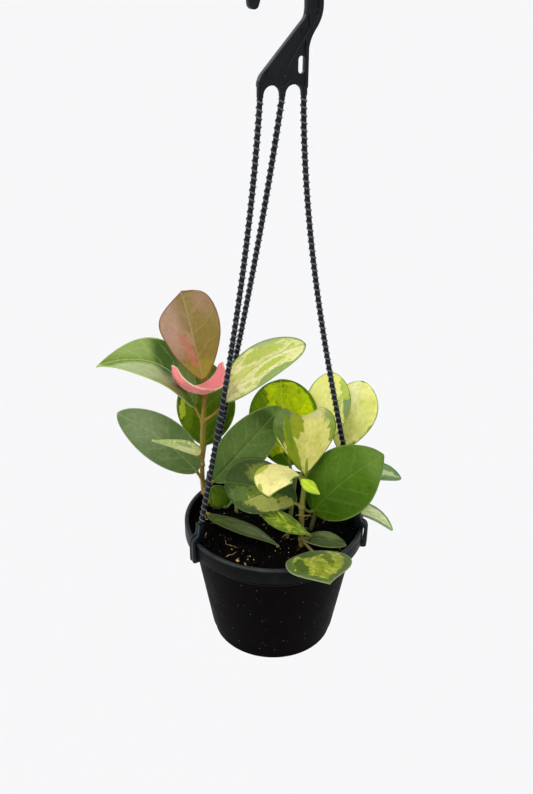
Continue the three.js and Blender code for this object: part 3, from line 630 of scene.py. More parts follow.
# ------------------------------------------------------------------------------------ pot
@dataclass
class GrowingPot:
    """The black injection-moulded pot: rolled lip, deep band, tapered wall, foot and drain holes."""

    rim_radius: float = 57.5
    rim_inner_radius: float = 54.7
    lip_round: float = 1.4
    lip_steps: int = 6
    draft: float = 0.3
    band_height: float = 10.6
    wall_top_radius: float = 53.1
    shoulder_depth: float = 16.0
    shoulder_step: float = 0.5
    wall_foot_radius: float = 40.7
    foot_depth: float = 78.3
    base_radius: float = 38.9
    height: float = 85.0
    wall: float = 1.5
    floor: float = 2.2
    segments: int = 144
    drain_count: int = 6
    drain_radius: float = 3.5
    drain_circle: float = 26.0
    drain_sides: int = 28
    wall_finish: BlackPolypropylene = BlackPolypropylene(
        "matt_black_polypropylene_wall", "#070505", "#120d0b", 0.006, dust_amount=3.5
    )
    band_finish: BlackPolypropylene = BlackPolypropylene(
        "satin_black_polypropylene_band", "#090a0a", "#151717", 0.045, roughness=0.4
    )
    # the lip's rounding is paler and shinier than the wall: a painted highlight along the rim
    lip_highlight_finish: BlackPolypropylene = BlackPolypropylene(
        "black_polypropylene_lip_painted_highlight", "#1c1e20", "#34383b", 0.2, roughness=0.36
    )

    def profile(self) -> list[Pair]:
        """The pot's section.

        Returns:
            Radius and height in millimetres, from the underside up the outside and down the inside.
        """
        share = (self.shoulder_depth - self.band_height) / (self.foot_depth - self.band_height)
        shoulder = self.wall_top_radius + (self.wall_foot_radius - self.wall_top_radius) * share
        foot, step, band = -self.foot_depth, -self.shoulder_depth, -self.band_height
        outside = [
            (self.base_radius - 1.4, -self.height), (self.base_radius - 0.5, -self.height + 0.3),
            (self.base_radius, -self.height + 1.0), (self.base_radius + 0.35, foot - 1.0),
            (self.base_radius + 0.7, foot - 0.3), (self.wall_foot_radius - 0.2, foot),
            (self.wall_foot_radius, foot + 0.4), (shoulder - self.shoulder_step - 0.05, step - 0.3),
            (shoulder - self.shoulder_step * 0.7, step), (shoulder, step + self.shoulder_step),
            (self.wall_top_radius, band - 0.3), (self.wall_top_radius + 0.4, band), (self.rim_radius - 0.9, band),
            (self.rim_radius - 0.35, band + 0.2), (self.rim_radius - 0.12, band + 0.8),
        ]
        quarter = [math.pi / 2 * index / self.lip_steps for index in range(self.lip_steps + 1)]
        rises = [self.lip_round * (1 - math.sin(angle)) for angle in quarter]
        turns = [self.lip_round * (1 - math.cos(angle)) for angle in quarter]
        lip = [(self.rim_radius - turn, -rise) for turn, rise in zip(turns, rises)]
        lip += [(self.rim_inner_radius + rise, -turn) for turn, rise in zip(turns, rises)]
        ledge = band + self.wall
        inside = [
            (self.rim_inner_radius - self.draft, ledge + 0.3), (self.rim_inner_radius - self.draft - 0.3, ledge),
            (self.wall_top_radius - self.wall, ledge), (shoulder - self.wall, step),
            (self.wall_foot_radius - self.wall, foot), (self.base_radius - self.wall, -self.height + self.floor),
        ]
        return outside + lip + inside

    def build(self) -> None:
        """Turn the pot from one disc, pierce its drain holes and dress it."""
        profile = self.profile()
        start_fresh()
        bpy.ops.mesh.primitive_circle_add(
            vertices=self.segments, radius=profile[0][0] * MM, fill_type="NGON", location=place((0, 0, profile[0][1]))
        )
        shell = added("pot_shell")
        with editing(shell):
            for (radius, height), (next_radius, next_height) in zip(profile, profile[1:]):
                bpy.ops.mesh.extrude_region_move(TRANSFORM_OT_translate={"value": (0, 0, (next_height - height) * MM)})
                grow = next_radius / radius
                bpy.ops.transform.resize(value=(grow, grow, 1), center_override=place((0, 0, next_height)))
        apply_place(shell)
        face_outwards(shell)
        drains = []
        for index in range(self.drain_count):
            angle = index * 2 * math.pi / self.drain_count
            x, y = self.drain_circle * math.cos(angle), self.drain_circle * math.sin(angle)
            start_fresh()
            bpy.ops.mesh.primitive_cylinder_add(
                vertices=self.drain_sides, radius=self.drain_radius * MM, depth=4 * self.floor * MM,
                location=place((x, y, -self.height)),
            )
            drains.append(added("drain"))
        cutter = join(drains, "drains")
        apply_place(cutter)
        carve(shell, cutter)
        smooth(shell, 35)
        dress(shell, self.wall_finish.material(), self.band_finish.material(), self.lip_highlight_finish.material())
        # the shoulder's step is rubbed as the band is
        band, lip, step = (
            -(SEAT_HEIGHT + depth) * MM for depth in (self.band_height + 0.6, self.lip_round, self.shoulder_depth)
        )
        # slot 2, the rounded lip, is the painted highlight
        for polygon in shell.data.polygons:
            level = polygon.center.z
            stepped = -0.5 * MM < level - step < 0.6 * MM
            polygon.material_index = 1 if stepped else int(level > band) + int(level > lip)
        settle(shell, "pot_plastic", "pot")


# ------------------------------------------------------------------------------------ soil
@dataclass(frozen=True)
class Loose:
    """A kind of loose lump on the mix, with its smallest and largest values."""

    name: str
    count: int
    subdivisions: int
    size: Pair  # half size in millimetres
    flatness: Pair  # thickness as a share of the size
    tones: tuple[float, ...]  # from 0, black, to 1, pale
    spread: float  # how far a tone strays


@dataclass
class PottingBed:
    """The potting mix: an uneven bed, loose chips, crumbs and root fibres on it."""

    depth: float = 7.8
    radius: float = 54.1
    grid: int = 170
    levels: tuple[Pair, ...] = ((54.0, -8.8), (51.3, -9.0), (50.2, -15.7), (38.9, -78.0), (36.8, -82.4))
    crumbs: Loose = Loose("soil_crumbs", 950, 1, (0.45, 1.5), (0.5, 0.9), (0.0, 0.04, 0.08, 0.15, 0.25, 0.45), 0.03)
    chips: Loose = Loose("soil_chips", 300, 2, (0.35, 1.35), (0.35, 0.75), (0.1, 0.25, 0.4, 0.6, 0.75, 0.9, 0.97), 0.05)
    fibre_count: int = 18
    fibre_tones: tuple[float, ...] = (0.55, 0.75, 0.9, 1.0)
    seed: int = 11
    mix: BarkMix = BarkMix()
    chip_finish: BarkChip = BarkChip()

    def surface(self, x: float, y: float) -> float:
        """Height of the mix over the rim's plane, at a place to the right and to the back of the middle."""
        broad = math.sin(x * 0.17 + 0.6) * math.cos(y * 0.15 - 0.4)
        fine = math.sin(x * 0.55 + y * 0.31) * math.cos(y * 0.47 - x * 0.2)
        swell = 0.42 * broad + 0.28 * fine
        # lumps of 4 mm, crumbs of 1.3 mm and grains of 0.5 mm, and how high each stands
        for pace, layer, height in ((0.24, 3.1, 1.5), (0.75, 7.7, 0.95), (1.9, 1.3, 0.35)):
            swell += height * noise.noise(Vector((x * pace, y * pace, layer)))
        edge = limited((self.radius - math.hypot(x, y)) / 2.0)
        return -self.depth + swell * (0.35 + 0.65 * edge)

    def build_bed(self) -> None:
        """Form the bed from a grid pressed into a disc, and draw its side down into the pot."""
        start_fresh()
        bpy.ops.mesh.primitive_grid_add(x_subdivisions=self.grid, y_subdivisions=self.grid, size=2)
        bed = added("soil_bed")
        for vertex in bed.data.vertices:
            u, v = vertex.co.x, vertex.co.y
            x = u * math.sqrt(1 - v * v / 2) * self.radius
            y = v * math.sqrt(1 - u * u / 2) * self.radius
            vertex.co = place((x, y, self.surface(x, y)))
        radius, level, flat = self.radius, -self.depth, 0.0
        with editing(bed):
            select_open_edges()
            for next_radius, next_level in self.levels:
                drop = (next_level - level) * MM
                bpy.ops.mesh.extrude_edges_move(TRANSFORM_OT_translate={"value": (0, 0, drop)})
                grow = next_radius / radius
                # the first ring of edges is pressed flat
                bpy.ops.transform.resize(value=(grow, grow, flat), center_override=place((0, 0, next_level)))
                radius, level, flat = next_radius, next_level, 1.0
            bpy.ops.mesh.edge_face_add()
        face_outwards(bed)
        smooth(bed, 60)
        dress(bed, self.mix.material())
        settle(bed, "potting_mix", "soil")

    def scatter(self, kind: Loose, rng: random.Random) -> Piece:
        """Lay many copies of one lump on the bed, each with a size, turn and tone of its own.

        Args:
            kind: what is scattered.
            rng: the seeded source of all draws.

        Returns:
            One mesh of all lumps with the attribute "tone".
        """
        start_fresh()
        bpy.ops.mesh.primitive_ico_sphere_add(subdivisions=kind.subdivisions, radius=1)
        lump = added("lump")
        shape = [vertex.co.copy() for vertex in lump.data.vertices]
        sides = [tuple(polygon.vertices) for polygon in lump.data.polygons]
        bpy.data.objects.remove(lump)
        points: list[Vector] = []
        faces: list[tuple[int, ...]] = []
        tones: list[float] = []
        for index in range(kind.count):
            reach = (self.radius - 2.5) * math.sqrt(rng.random())
            angle = rng.random() * 2 * math.pi
            x, y = reach * math.cos(angle), reach * math.sin(angle)
            big = kind.size[0] + (kind.size[1] - kind.size[0]) * rng.random() ** 2.2
            form = Vector((big, big * rng.uniform(0.5, 0.95), big * rng.uniform(*kind.flatness)))
            turn = Matrix.Rotation(rng.uniform(0, 2 * math.pi), 3, "Z")
            tilt = Matrix.Rotation(rng.uniform(-0.7, 0.7), 3, "X")
            tilt = tilt @ Matrix.Rotation(rng.uniform(-0.7, 0.7), 3, "Y")
            middle = Vector((x, y, self.surface(x, y) + form.z * 0.35))
            start = len(points)
            tone = rng.choice(kind.tones) + rng.uniform(-kind.spread, kind.spread)
            for corner in shape:
                rough = 1 + 0.28 * noise.noise(corner * 1.7 + Vector((index * 3.1, 0, 0)))
                points.append(place(middle + turn @ (tilt @ (corner * form)) * rough))
                tones.append(tone)
            faces.extend(tuple(start + corner for corner in side) for side in sides)
        piece = mesh_piece(kind.name, points, faces)
        store(piece, "tone", tones)
        dress(piece, self.chip_finish.material())
        return piece

    def build_chips(self) -> None:
        """Scatter crumbs and chips on the bed."""
        rng = random.Random(self.seed)
        settle(self.scatter(self.crumbs, rng), "potting_mix")
        chips = self.scatter(self.chips, rng)
        smooth(chips, 30)
        settle(chips, "potting_mix")

    def build_fibres(self) -> None:
        """Lay curved root fibres and bark slivers over the bed."""
        rng = random.Random(self.seed + 1)
        fibres = []
        for index in range(self.fibre_count):
            reach = (self.radius - 8) * math.sqrt(rng.random())
            angle = rng.uniform(0, 2 * math.pi)
            x, y = reach * math.cos(angle), reach * math.sin(angle)
            heading = rng.uniform(0, 2 * math.pi)
            path = []
            steps = rng.randint(5, 10)
            thick = rng.uniform(0.14, 0.26)
            for step in range(steps):
                lift = 0.35 + 1.1 * math.sin(math.pi * step / (steps - 1)) * rng.uniform(0.4, 1.0)
                path.append((x, y, self.surface(x, y) + lift))
                heading += rng.uniform(-0.5, 0.5)
                stride = rng.uniform(0.9, 1.7)
                x += stride * math.cos(heading)
                y += stride * math.sin(heading)
                if math.hypot(x, y) > self.radius - 2:
                    break
            # a fibre that runs off the bed at once is left out
            if len(path) < 3:
                continue
            taper = [thick * (1 - 0.6 * step / len(path)) for step in range(len(path))]
            fibre = tube(f"fibre_{index}", path, taper, 4)
            store(fibre, "tone", [rng.choice(self.fibre_tones)] * len(fibre.data.vertices))
            fibres.append(fibre)
        piece = join(fibres, "soil_fibres")
        smooth(piece, 60)
        dress(piece, self.chip_finish.material())
        settle(piece, "potting_mix")

    def build(self) -> None:
        """Build the bed and all that lies on it."""
        self.build_bed()
        self.build_chips()
        self.build_fibres()


# ------------------------------------------------------------------------------------ hanger
class Outline:
    """A flat outline drawn with lines, arcs and curves, in millimetres."""

    def __init__(self, across: float, height: float) -> None:
        """Start the outline at a point."""
        self.points: list[Pair] = [(across, height)]

    def lines(self, *points: Pair) -> "Outline":
        """Draw lines from point to point."""
        self.points.extend(points)
        return self

    def curves(self, *points: Pair, steps: int = 8) -> "Outline":
        """Draw quadratic curves, each by a control point to its end, as a number of lines."""
        for by, to in zip(points[::2], points[1::2]):
            start = self.points[-1]
            for step in range(1, steps + 1):
                t = step / steps
                blend = [(1 - t) ** 2 * s + 2 * t * (1 - t) * b + t * t * e for s, b, e in zip(start, by, to)]
                self.points.append((blend[0], blend[1]))
        return self

    def arc(self, middle: Pair, radius: float, begin: float, end: float, steps: int = 16) -> "Outline":
        """Draw an arc, and a line to where it starts.

        Args:
            middle: its centre.
            radius: its radius.
            begin: its first angle in half turns.
            end: its last angle in half turns.
            steps: how many lines stand for it.

        Returns:
            The outline.
        """
        for step in range(steps + 1):
            angle = math.pi * (begin + (end - begin) * step / steps)
            self.points.append((middle[0] + radius * math.cos(angle), middle[1] + radius * math.sin(angle)))
        return self

    @classmethod
    def disc(cls, middle: Pair, radius: float) -> "Outline":
        """Draw a full circle."""
        return cls(middle[0] + radius, middle[1]).arc(middle, radius, 0, 2, 28)

    def clean(self) -> list[Pair]:
        """The outline's points without repeats."""
        kept: list[Pair] = []
        for point in self.points:
            if not kept or math.dist(point, kept[-1]) > 0.02:
                kept.append(point)
        if math.dist(kept[0], kept[-1]) < 0.02:
            kept.pop()
        return kept

    def pressed(self, name: str, back: float, depth: float) -> Piece:
        """Press the outline into a slab, its across along X and its height along Z.

        Args:
            name: the piece's name.
            back: where its back lies along Y, in millimetres.
            depth: how thick it is, from the back towards -Y.

        Returns:
            The slab.
        """
        points = [Vector((across * MM, 0, height * MM)) for across, height in self.clean()]
        slab = mesh_piece(name, points, [range(len(points))])
        with editing(slab):
            bpy.ops.transform.translate(value=(0, back * MM, 0))
            bpy.ops.mesh.extrude_region_move(TRANSFORM_OT_translate={"value": (0, -depth * MM, 0)})
        return slab


@dataclass
class HookPlate:
    """The hook, its shank and the fan that the three strands hang from."""

    arc_height: float = 302.0
    inner_radius: float = 12.5
    outer_radius: float = 21.0
    outer_shift: float = 0.8
    thickness: float = 3.6
    edge_round: float = 0.3
    half_leg: float = 1.5
    pocket_depth: float = 0.75
    pins: tuple[Pair, ...] = ((-8.2, 269.4), (-0.2, 269.8), (11.1, 289.0))  # where the mould's ejectors pressed
    pin_ring: float = 1.75
    pin_disc: float = 1.4
    pin_depth: float = 0.22
    neck: tuple[Pair, ...] = (
        (264.2, 0.35), (263.6, 0.95), (262.6, 1.45), (261.0, 1.62), (259.0, 1.6), (257.0, 1.5), (256.2, 1.47),
    )  # heights and radii
    strand_offsets: tuple[float, float, float] = (-12.2, 0.3, 12.8)
    finish: BlackPolypropylene = BlackPolypropylene(
        "moulded_black_polypropylene_hanger", "#060c11", "#171d22", 0.19, roughness=0.4, dust_amount=0.3, scratch=0.1
    )
    # a paler, shinier plastic: the painted highlight on the plate's upward walls and on the clips' ribs
    highlight_finish: BlackPolypropylene = BlackPolypropylene(
        "black_polypropylene_painted_edge_highlight", "#2e3438", "#4a5156", 0.6, roughness=0.34, dust_amount=0.0, scratch=0.0
    )

    def slab(self, name: str, outline: Outline, thickness: float, shift: float = 0.0) -> Piece:
        """Press an outline into a slab in the plane of the plate, its middle shifted to the front."""
        slab = outline.pressed(name, thickness / 2 - shift, thickness)
        set_on_rim(slab, PLATE_TURN)
        face_outwards(slab)
        return slab

    def outline(self) -> Outline:
        """The plate's outline, as the CAD has it, with finer steps."""
        left, middle, right = self.strand_offsets
        half = self.half_leg
        legs = STRAND_TOP + 0.6
        arch, spring = (right - middle) / 2 - half, legs + 1.0
        drawn = Outline(left - half, legs).lines((left + half, legs), (left + half, spring))
        drawn.arc(((left + middle) / 2, spring), arch, 1, 0)
        drawn.lines((middle - half, legs), (middle + half, legs), (middle + half, spring))
        drawn.arc(((middle + right) / 2, spring), arch, 1, 0)
        drawn.lines((right - half, legs), (right + half, legs), (right + half, 281))
        drawn.curves((15, 286), (18, 290), (22.1, 295.5), (self.outer_radius + self.outer_shift, self.arc_height))
        drawn.arc((self.outer_shift, self.arc_height), self.outer_radius, 0, 0.93, 48)
        drawn.arc((-16.4, 302.1), 2.75, 1, 1.8).curves((-13.3, 302.6), (-12.8, 305.0))
        drawn.arc((0, self.arc_height), self.inner_radius, 0.92, 0, 40)
        drawn.curves((12.9, 297), (11.1, 294.4)).lines((-11.6, 269.6))
        return drawn.curves((left - half, 267), (left - half, 264))

    def pockets(self) -> list[Outline]:
        """Outlines of the shallow pockets between the raised ribs: web, legs, channel and heel."""
        web = Outline(-13.1, 264.4).curves((-13.0, 267.6), (-11.4, 269.2))
        web.lines((8.5, 290.2), (12.3, 294.6), (13.9, 297), (14.2, 293.2), (14.4, 290.2))
        web.curves((13.6, 288.4), (12.6, 287.0))
        web.lines((8.3, 281.0), (2.9, 272.7), (9.4, 280.4), (12.5, 284.8), (12.5, 262.7))
        web.curves((9.6, 263.6), (8.5, 264.7), (6.0, 266.9), (3.6, 265.2), (1.0, 262.9), (-0.4, 263.1))
        web.curves((-1.6, 263.1), (-4.0, 265.1), (-6.8, 267.3), (-9.2, 265.5), (-11.3, 264.0), (-13.1, 264.4))
        legs = Outline(-16.5, 262.9).lines((-13.2, 263.3))
        legs.curves((-11.0, 263.0), (-9.0, 264.6), (-6.8, 266.2), (-4.4, 264.4), (-2.2, 262.2), (-0.4, 262.1))
        legs.curves((1.0, 262.0), (3.2, 263.8), (6.0, 265.9), (8.4, 263.6), (10.4, 261.7), (13.0, 261.9))
        legs.lines((17, 261.9), (17, 254), (-16.5, 254))
        middle, level = (self.outer_shift / 2, self.arc_height), self.arc_height - 2.6
        inner, outer = self.inner_radius + 1.25, self.outer_radius - 2.3
        channel = Outline(middle[0] + outer, level).arc(middle, outer, 0, 0.95, 48)
        channel.arc(middle, inner, 0.94, 0, 48).lines((middle[0] + inner, level))
        heel = Outline(14.3, 298.3).lines((19.0, 298.3))
        heel.curves((18.9, 295.4), (15.7, 290.5), (15.1, 291.4), (14.7, 294.5))
        return [web, legs, channel, heel]

    def necks(self, finish: Material) -> list[Piece]:
        """The round necks that each leg runs out into, and that the strands grow from."""
        turn = math.radians(PLATE_TURN)
        made = []
        for offset in self.strand_offsets:
            path = [(offset * math.cos(turn), offset * math.sin(turn), height) for height, _ in self.neck]
            neck = tube("neck", path, [radius for _, radius in self.neck], 20)
            dress(neck, finish)
            made.append(neck)
        return made

    def build(self) -> None:
        """Press the plate, sink its pockets and slot, add its round legs and dress it."""
        plate = self.slab("hook_plate", self.outline(), self.thickness)
        cutters = []
        for side in (-1, 1):
            for index, pocket in enumerate(self.pockets()):
                cutters.append(self.slab(f"pocket_{index}", pocket, 2 * self.pocket_depth, side * self.thickness / 2))
        slot = Outline(12.45, 275.6).arc((10.6, 275.6), 1.85, 0, 1, 14).arc((10.6, 270.6), 1.85, 1, 2, 14)
        cutters.append(self.slab("slot", slot, 2 * self.thickness))
        # marks of the ejector pins: shallow round grooves in the web, each with its disc left standing
        web_face = self.thickness / 2 - self.pocket_depth
        for pin in self.pins:
            cutters.append(self.slab("pin_mark", Outline.disc(pin, self.pin_ring), 2 * self.pin_depth, web_face))
        for cutter in cutters:
            carve(plate, cutter)
        for pin in self.pins:
            disc = self.slab("pin_disc", Outline.disc(pin, self.pin_disc), 0.5, web_face - 0.2)
            plate = join([plate, disc], "hook_plate")
        face_outwards(plate)
        dress(plate, self.finish.material(), self.highlight_finish.material())
        round_edges(plate, self.edge_round)
        # the walls that face upwards get a painted highlight: a paler, shinier plastic than the faces, as if lit from
        # above
        turn = math.radians(PLATE_TURN)
        ahead = Vector((math.sin(turn), -math.cos(turn), 0))
        for polygon in plate.data.polygons:
            side = abs(polygon.normal.dot(ahead)) < 0.75
            polygon.material_index = int(side and polygon.normal.z > 0.25)
        plate = join([plate, *self.necks(plate.data.materials[0])], "hook_plate")
        smooth(plate, 40)
        settle(plate, "hanger_plastic", "hanger_hook")


@dataclass
class RibbedStrand:
    """One strand of the hanger, with its right-handed spiral rib, its foot and its clip."""

    name: str
    clip_angle: float
    bow: float
    offset: float
    core_radius: float = 1.45
    rib_radius: float = 1.98
    turns: int = 65
    # one pitch of the thread: share of the pitch, and height of the narrow rib
    thread: tuple[Pair, ...] = (
        (0.0, 0.0), (0.2, 0.0), (0.36, 0.03), (0.43, 0.8), (0.47, 1.0), (0.54, 1.0), (0.59, 0.75), (0.66, 0.03),
        (0.82, 0.0),
    )
    rib_start: float = 0.8  # over how much of the strand the rib rises at the top
    rib_end: float = 1.4  # and fades at the bottom
    start: float = 0.4
    neck: float = 3.5
    end_height: float = 9.0
    end_radius: float = 53.5
    sides: int = 16
    samples: int = 400
    clip_width: float = 4.8
    strap: float = 2.3
    drop: float = 14.0
    inner_drop: float = 5.0
    foot_radius: float = 2.35
    foot_height: float = 9.6
    pot: GrowingPot = field(default_factory=GrowingPot)

    def axis(self, share: float) -> Vector:
        """A point of the strand's middle line in millimetres, at a share of the way down by height."""
        turn, angle = math.radians(PLATE_TURN), math.radians(self.clip_angle)
        start = Vector((self.offset * math.cos(turn), self.offset * math.sin(turn), STRAND_TOP))
        end = Vector((self.end_radius * math.cos(angle), self.end_radius * math.sin(angle), self.end_height))
        bent = (3 * share**2 - share**3) / 2
        sideways = share + (bent - share) * self.bow
        return Vector([s + (e - s) * t for s, e, t in zip(start, end, (sideways, sideways, share))])

    def build_rope(self) -> Piece:
        """Wind the spiral rib round the core.

        The mesh follows the rib: its rows climb by one pitch in a turn, so the ridge is one clean edge.

        Returns:
            The strand without its clip.
        """
        line = [self.axis(index / self.samples) for index in range(self.samples + 1)]
        lengths = [0.0]
        for before, after in zip(line, line[1:]):
            lengths.append(lengths[-1] + (after - before).length)
        total = lengths[-1]
        pitch = (total - self.start - self.neck) / self.turns

        def at_length(reach: float) -> tuple[Vector, Vector]:
            """The point and the direction of the middle line at a length."""
            reach = min(max(reach, 0.0), total)
            low = min(bisect_right(lengths, reach), self.samples) - 1
            share = (reach - lengths[low]) / (lengths[low + 1] - lengths[low])
            return line[low].lerp(line[low + 1], share), (line[low + 1] - line[low]).normalized()

        points: list[Vector] = []
        ridges: list[float] = []
        pace = len(self.thread)
        rows = (self.turns + 2) * pace
        for row in range(rows):
            share, rise = self.thread[row % pace]
            for corner in range(self.sides):
                along = (row // pace + share + corner / self.sides - 1) * pitch + self.start
                inside = limited(min(along / self.rib_start, (total - self.neck * 0.6 - along) / self.rib_end))
                radius = self.core_radius + (self.rib_radius - self.core_radius) * rise * inside
                ridges.append(1.0 if rise * inside > 0.6 else 0.0)
                middle, down = at_length(along)
                outer = down.cross(Vector((0, 1, 0))).normalized()
                upper = outer.cross(down)
                angle = 2 * math.pi * corner / self.sides
                points.append(place(middle + (outer * math.cos(angle) + upper * math.sin(angle)) * radius))
        faces: list[tuple[int, ...]] = []
        for row in range(rows - 1):
            for corner in range(self.sides):
                here = row * self.sides + corner
                if corner + 1 < self.sides:
                    beside = here + 1
                elif row < rows - pace - 1:
                    # a full turn on, the row goes over into the one a pitch below
                    beside = (row + pace) * self.sides
                else:
                    continue
                faces.append((here, beside, beside + self.sides, here + self.sides))
        rope = mesh_piece(f"{self.name}_rope", points, faces)
        store(rope, "ridge", ridges)
        return rope

    def build(self, finish: Material, highlight_finish: Material) -> None:
        """Build the strand with its foot and clip, in the hanger's plastic, with a painted highlight on its ribs."""
        rope = self.build_rope()
        with editing(rope):
            bpy.ops.mesh.remove_doubles(threshold=2e-6)
            select_open_edges()
            bpy.ops.mesh.fill_holes(sides=0)
        face_outwards(rope)
        smooth(rope, 50)
        dress(rope, finish)
        settle(rope, "hanger_plastic", f"hanger_{self.name}")
        settle(self.build_clip(finish, highlight_finish), "hanger_plastic")

    def strap_side(self, proud: float) -> Outline:
        """The strap seen from the side, over the rim and down to its barb; a rib on it stands proud."""
        inner = self.pot.rim_inner_radius - self.pot.draft - 0.5
        outer = self.pot.rim_radius + 0.25
        back, lock, end = outer + self.strap + proud, -self.pot.band_height - 0.4, -self.drop
        side = Outline(inner, 0.4).lines((inner, -self.inner_drop), (inner - self.strap + 0.4, -self.inner_drop))
        side.lines((inner - self.strap + 0.1, 3.0), (self.end_radius - self.core_radius, 12.6))
        side.lines((self.end_radius + self.core_radius + proud, 12.6))
        side.curves((self.end_radius + 2.0 + proud, 6.4), (outer - 1.2, 4.9 + proud), steps=10)
        side.curves((back, 4.0 + proud), (back, -0.6), steps=12)
        side.lines((back - 0.1, 1.6 + end)).curves((back - 0.3, end), (back - 1.6, end), steps=5)
        side.lines((outer - 1.2, end)).curves((outer - 2.6, end), (outer - 3.0, 1.6 + end), steps=5)
        side.lines((outer - 3.0, lock), (outer - 0.1, lock))
        side.lines((outer - 0.1, -6.0), (outer + 0.35, -3.2), (outer + 0.3, 0.4))
        return side.curves((outer - 1.1, 1.4), (inner, 0.4), steps=5)

    def build_clip(self, finish: Material, highlight_finish: Material) -> Piece:
        """The strap over the rim with its barb, and the foot that widens into it, placed on the rim."""
        parts = []
        # the strap, and two raised ribs that run over its back: how proud, and shares of the width
        for proud, left, right in ((0.0, -0.5, 0.5), (0.35, -0.42, -0.24), (0.35, 0.24, 0.42)):
            back, depth = right * self.clip_width, (right - left) * self.clip_width
            strip = self.strap_side(proud).pressed(f"{self.name}_strip", back, depth)
            face_outwards(strip)
            dress(strip, finish, highlight_finish)
            # the rounded edges of the raised ribs take the paler plastic: a painted highlight
            round_edges(strip, 0.2 if proud else 0.5, finish=1 if proud else -1)
            parts.append(strip)
        start_fresh()
        bpy.ops.mesh.primitive_cone_add(
            vertices=24, radius1=self.foot_radius * MM, radius2=self.core_radius * MM, depth=self.foot_height * MM,
            location=((self.end_radius + 0.1) * MM, 0, (self.end_height - 0.9) * MM),
        )
        foot = added("foot")
        dress(foot, finish)
        apply_place(foot)
        clip = join([*parts, foot], f"{self.name}_clip")
        set_on_rim(clip, self.clip_angle)
        smooth(clip, 40)
        return clip


@dataclass
class Hanger:
    """The moulded hanger: its hook plate and its three strands."""

    plate: HookPlate = field(default_factory=HookPlate)
    strands: tuple[RibbedStrand, ...] = (
        RibbedStrand("strand_front_left", 213, 0.6, -12.2),
        RibbedStrand("strand_back_left", 143.5, 0.25, 0.3),
        RibbedStrand("strand_right", 349, 0.84, 12.8),
    )

    def build(self) -> None:
        """Build the plate and the strands."""
        self.plate.build()
        # the strands' ridge tops carry a painted highlight; the clips' ribs get the paler highlight plastic
        finish = replace(self.plate.finish, name="moulded_black_polypropylene_strands", painted_ridges=True).material()
        highlight_finish = replace(self.plate.highlight_finish, name="black_polypropylene_painted_rib_highlight").material()
        for strand in self.strands:
            strand.build(finish, highlight_finish)


# ------------------------------------------------------------------------------------ leaves
class Tone(Enum):
    """The record's slots for leaves, by how a leaf looks from a step away."""

    GREEN = "leaf_green"
    DARK = "leaf_dark_green"
    LIME = "leaf_lime"
    CREAM = "leaf_cream"
    BRONZE = "leaf_bronze"
    PINK = "leaf_pink"


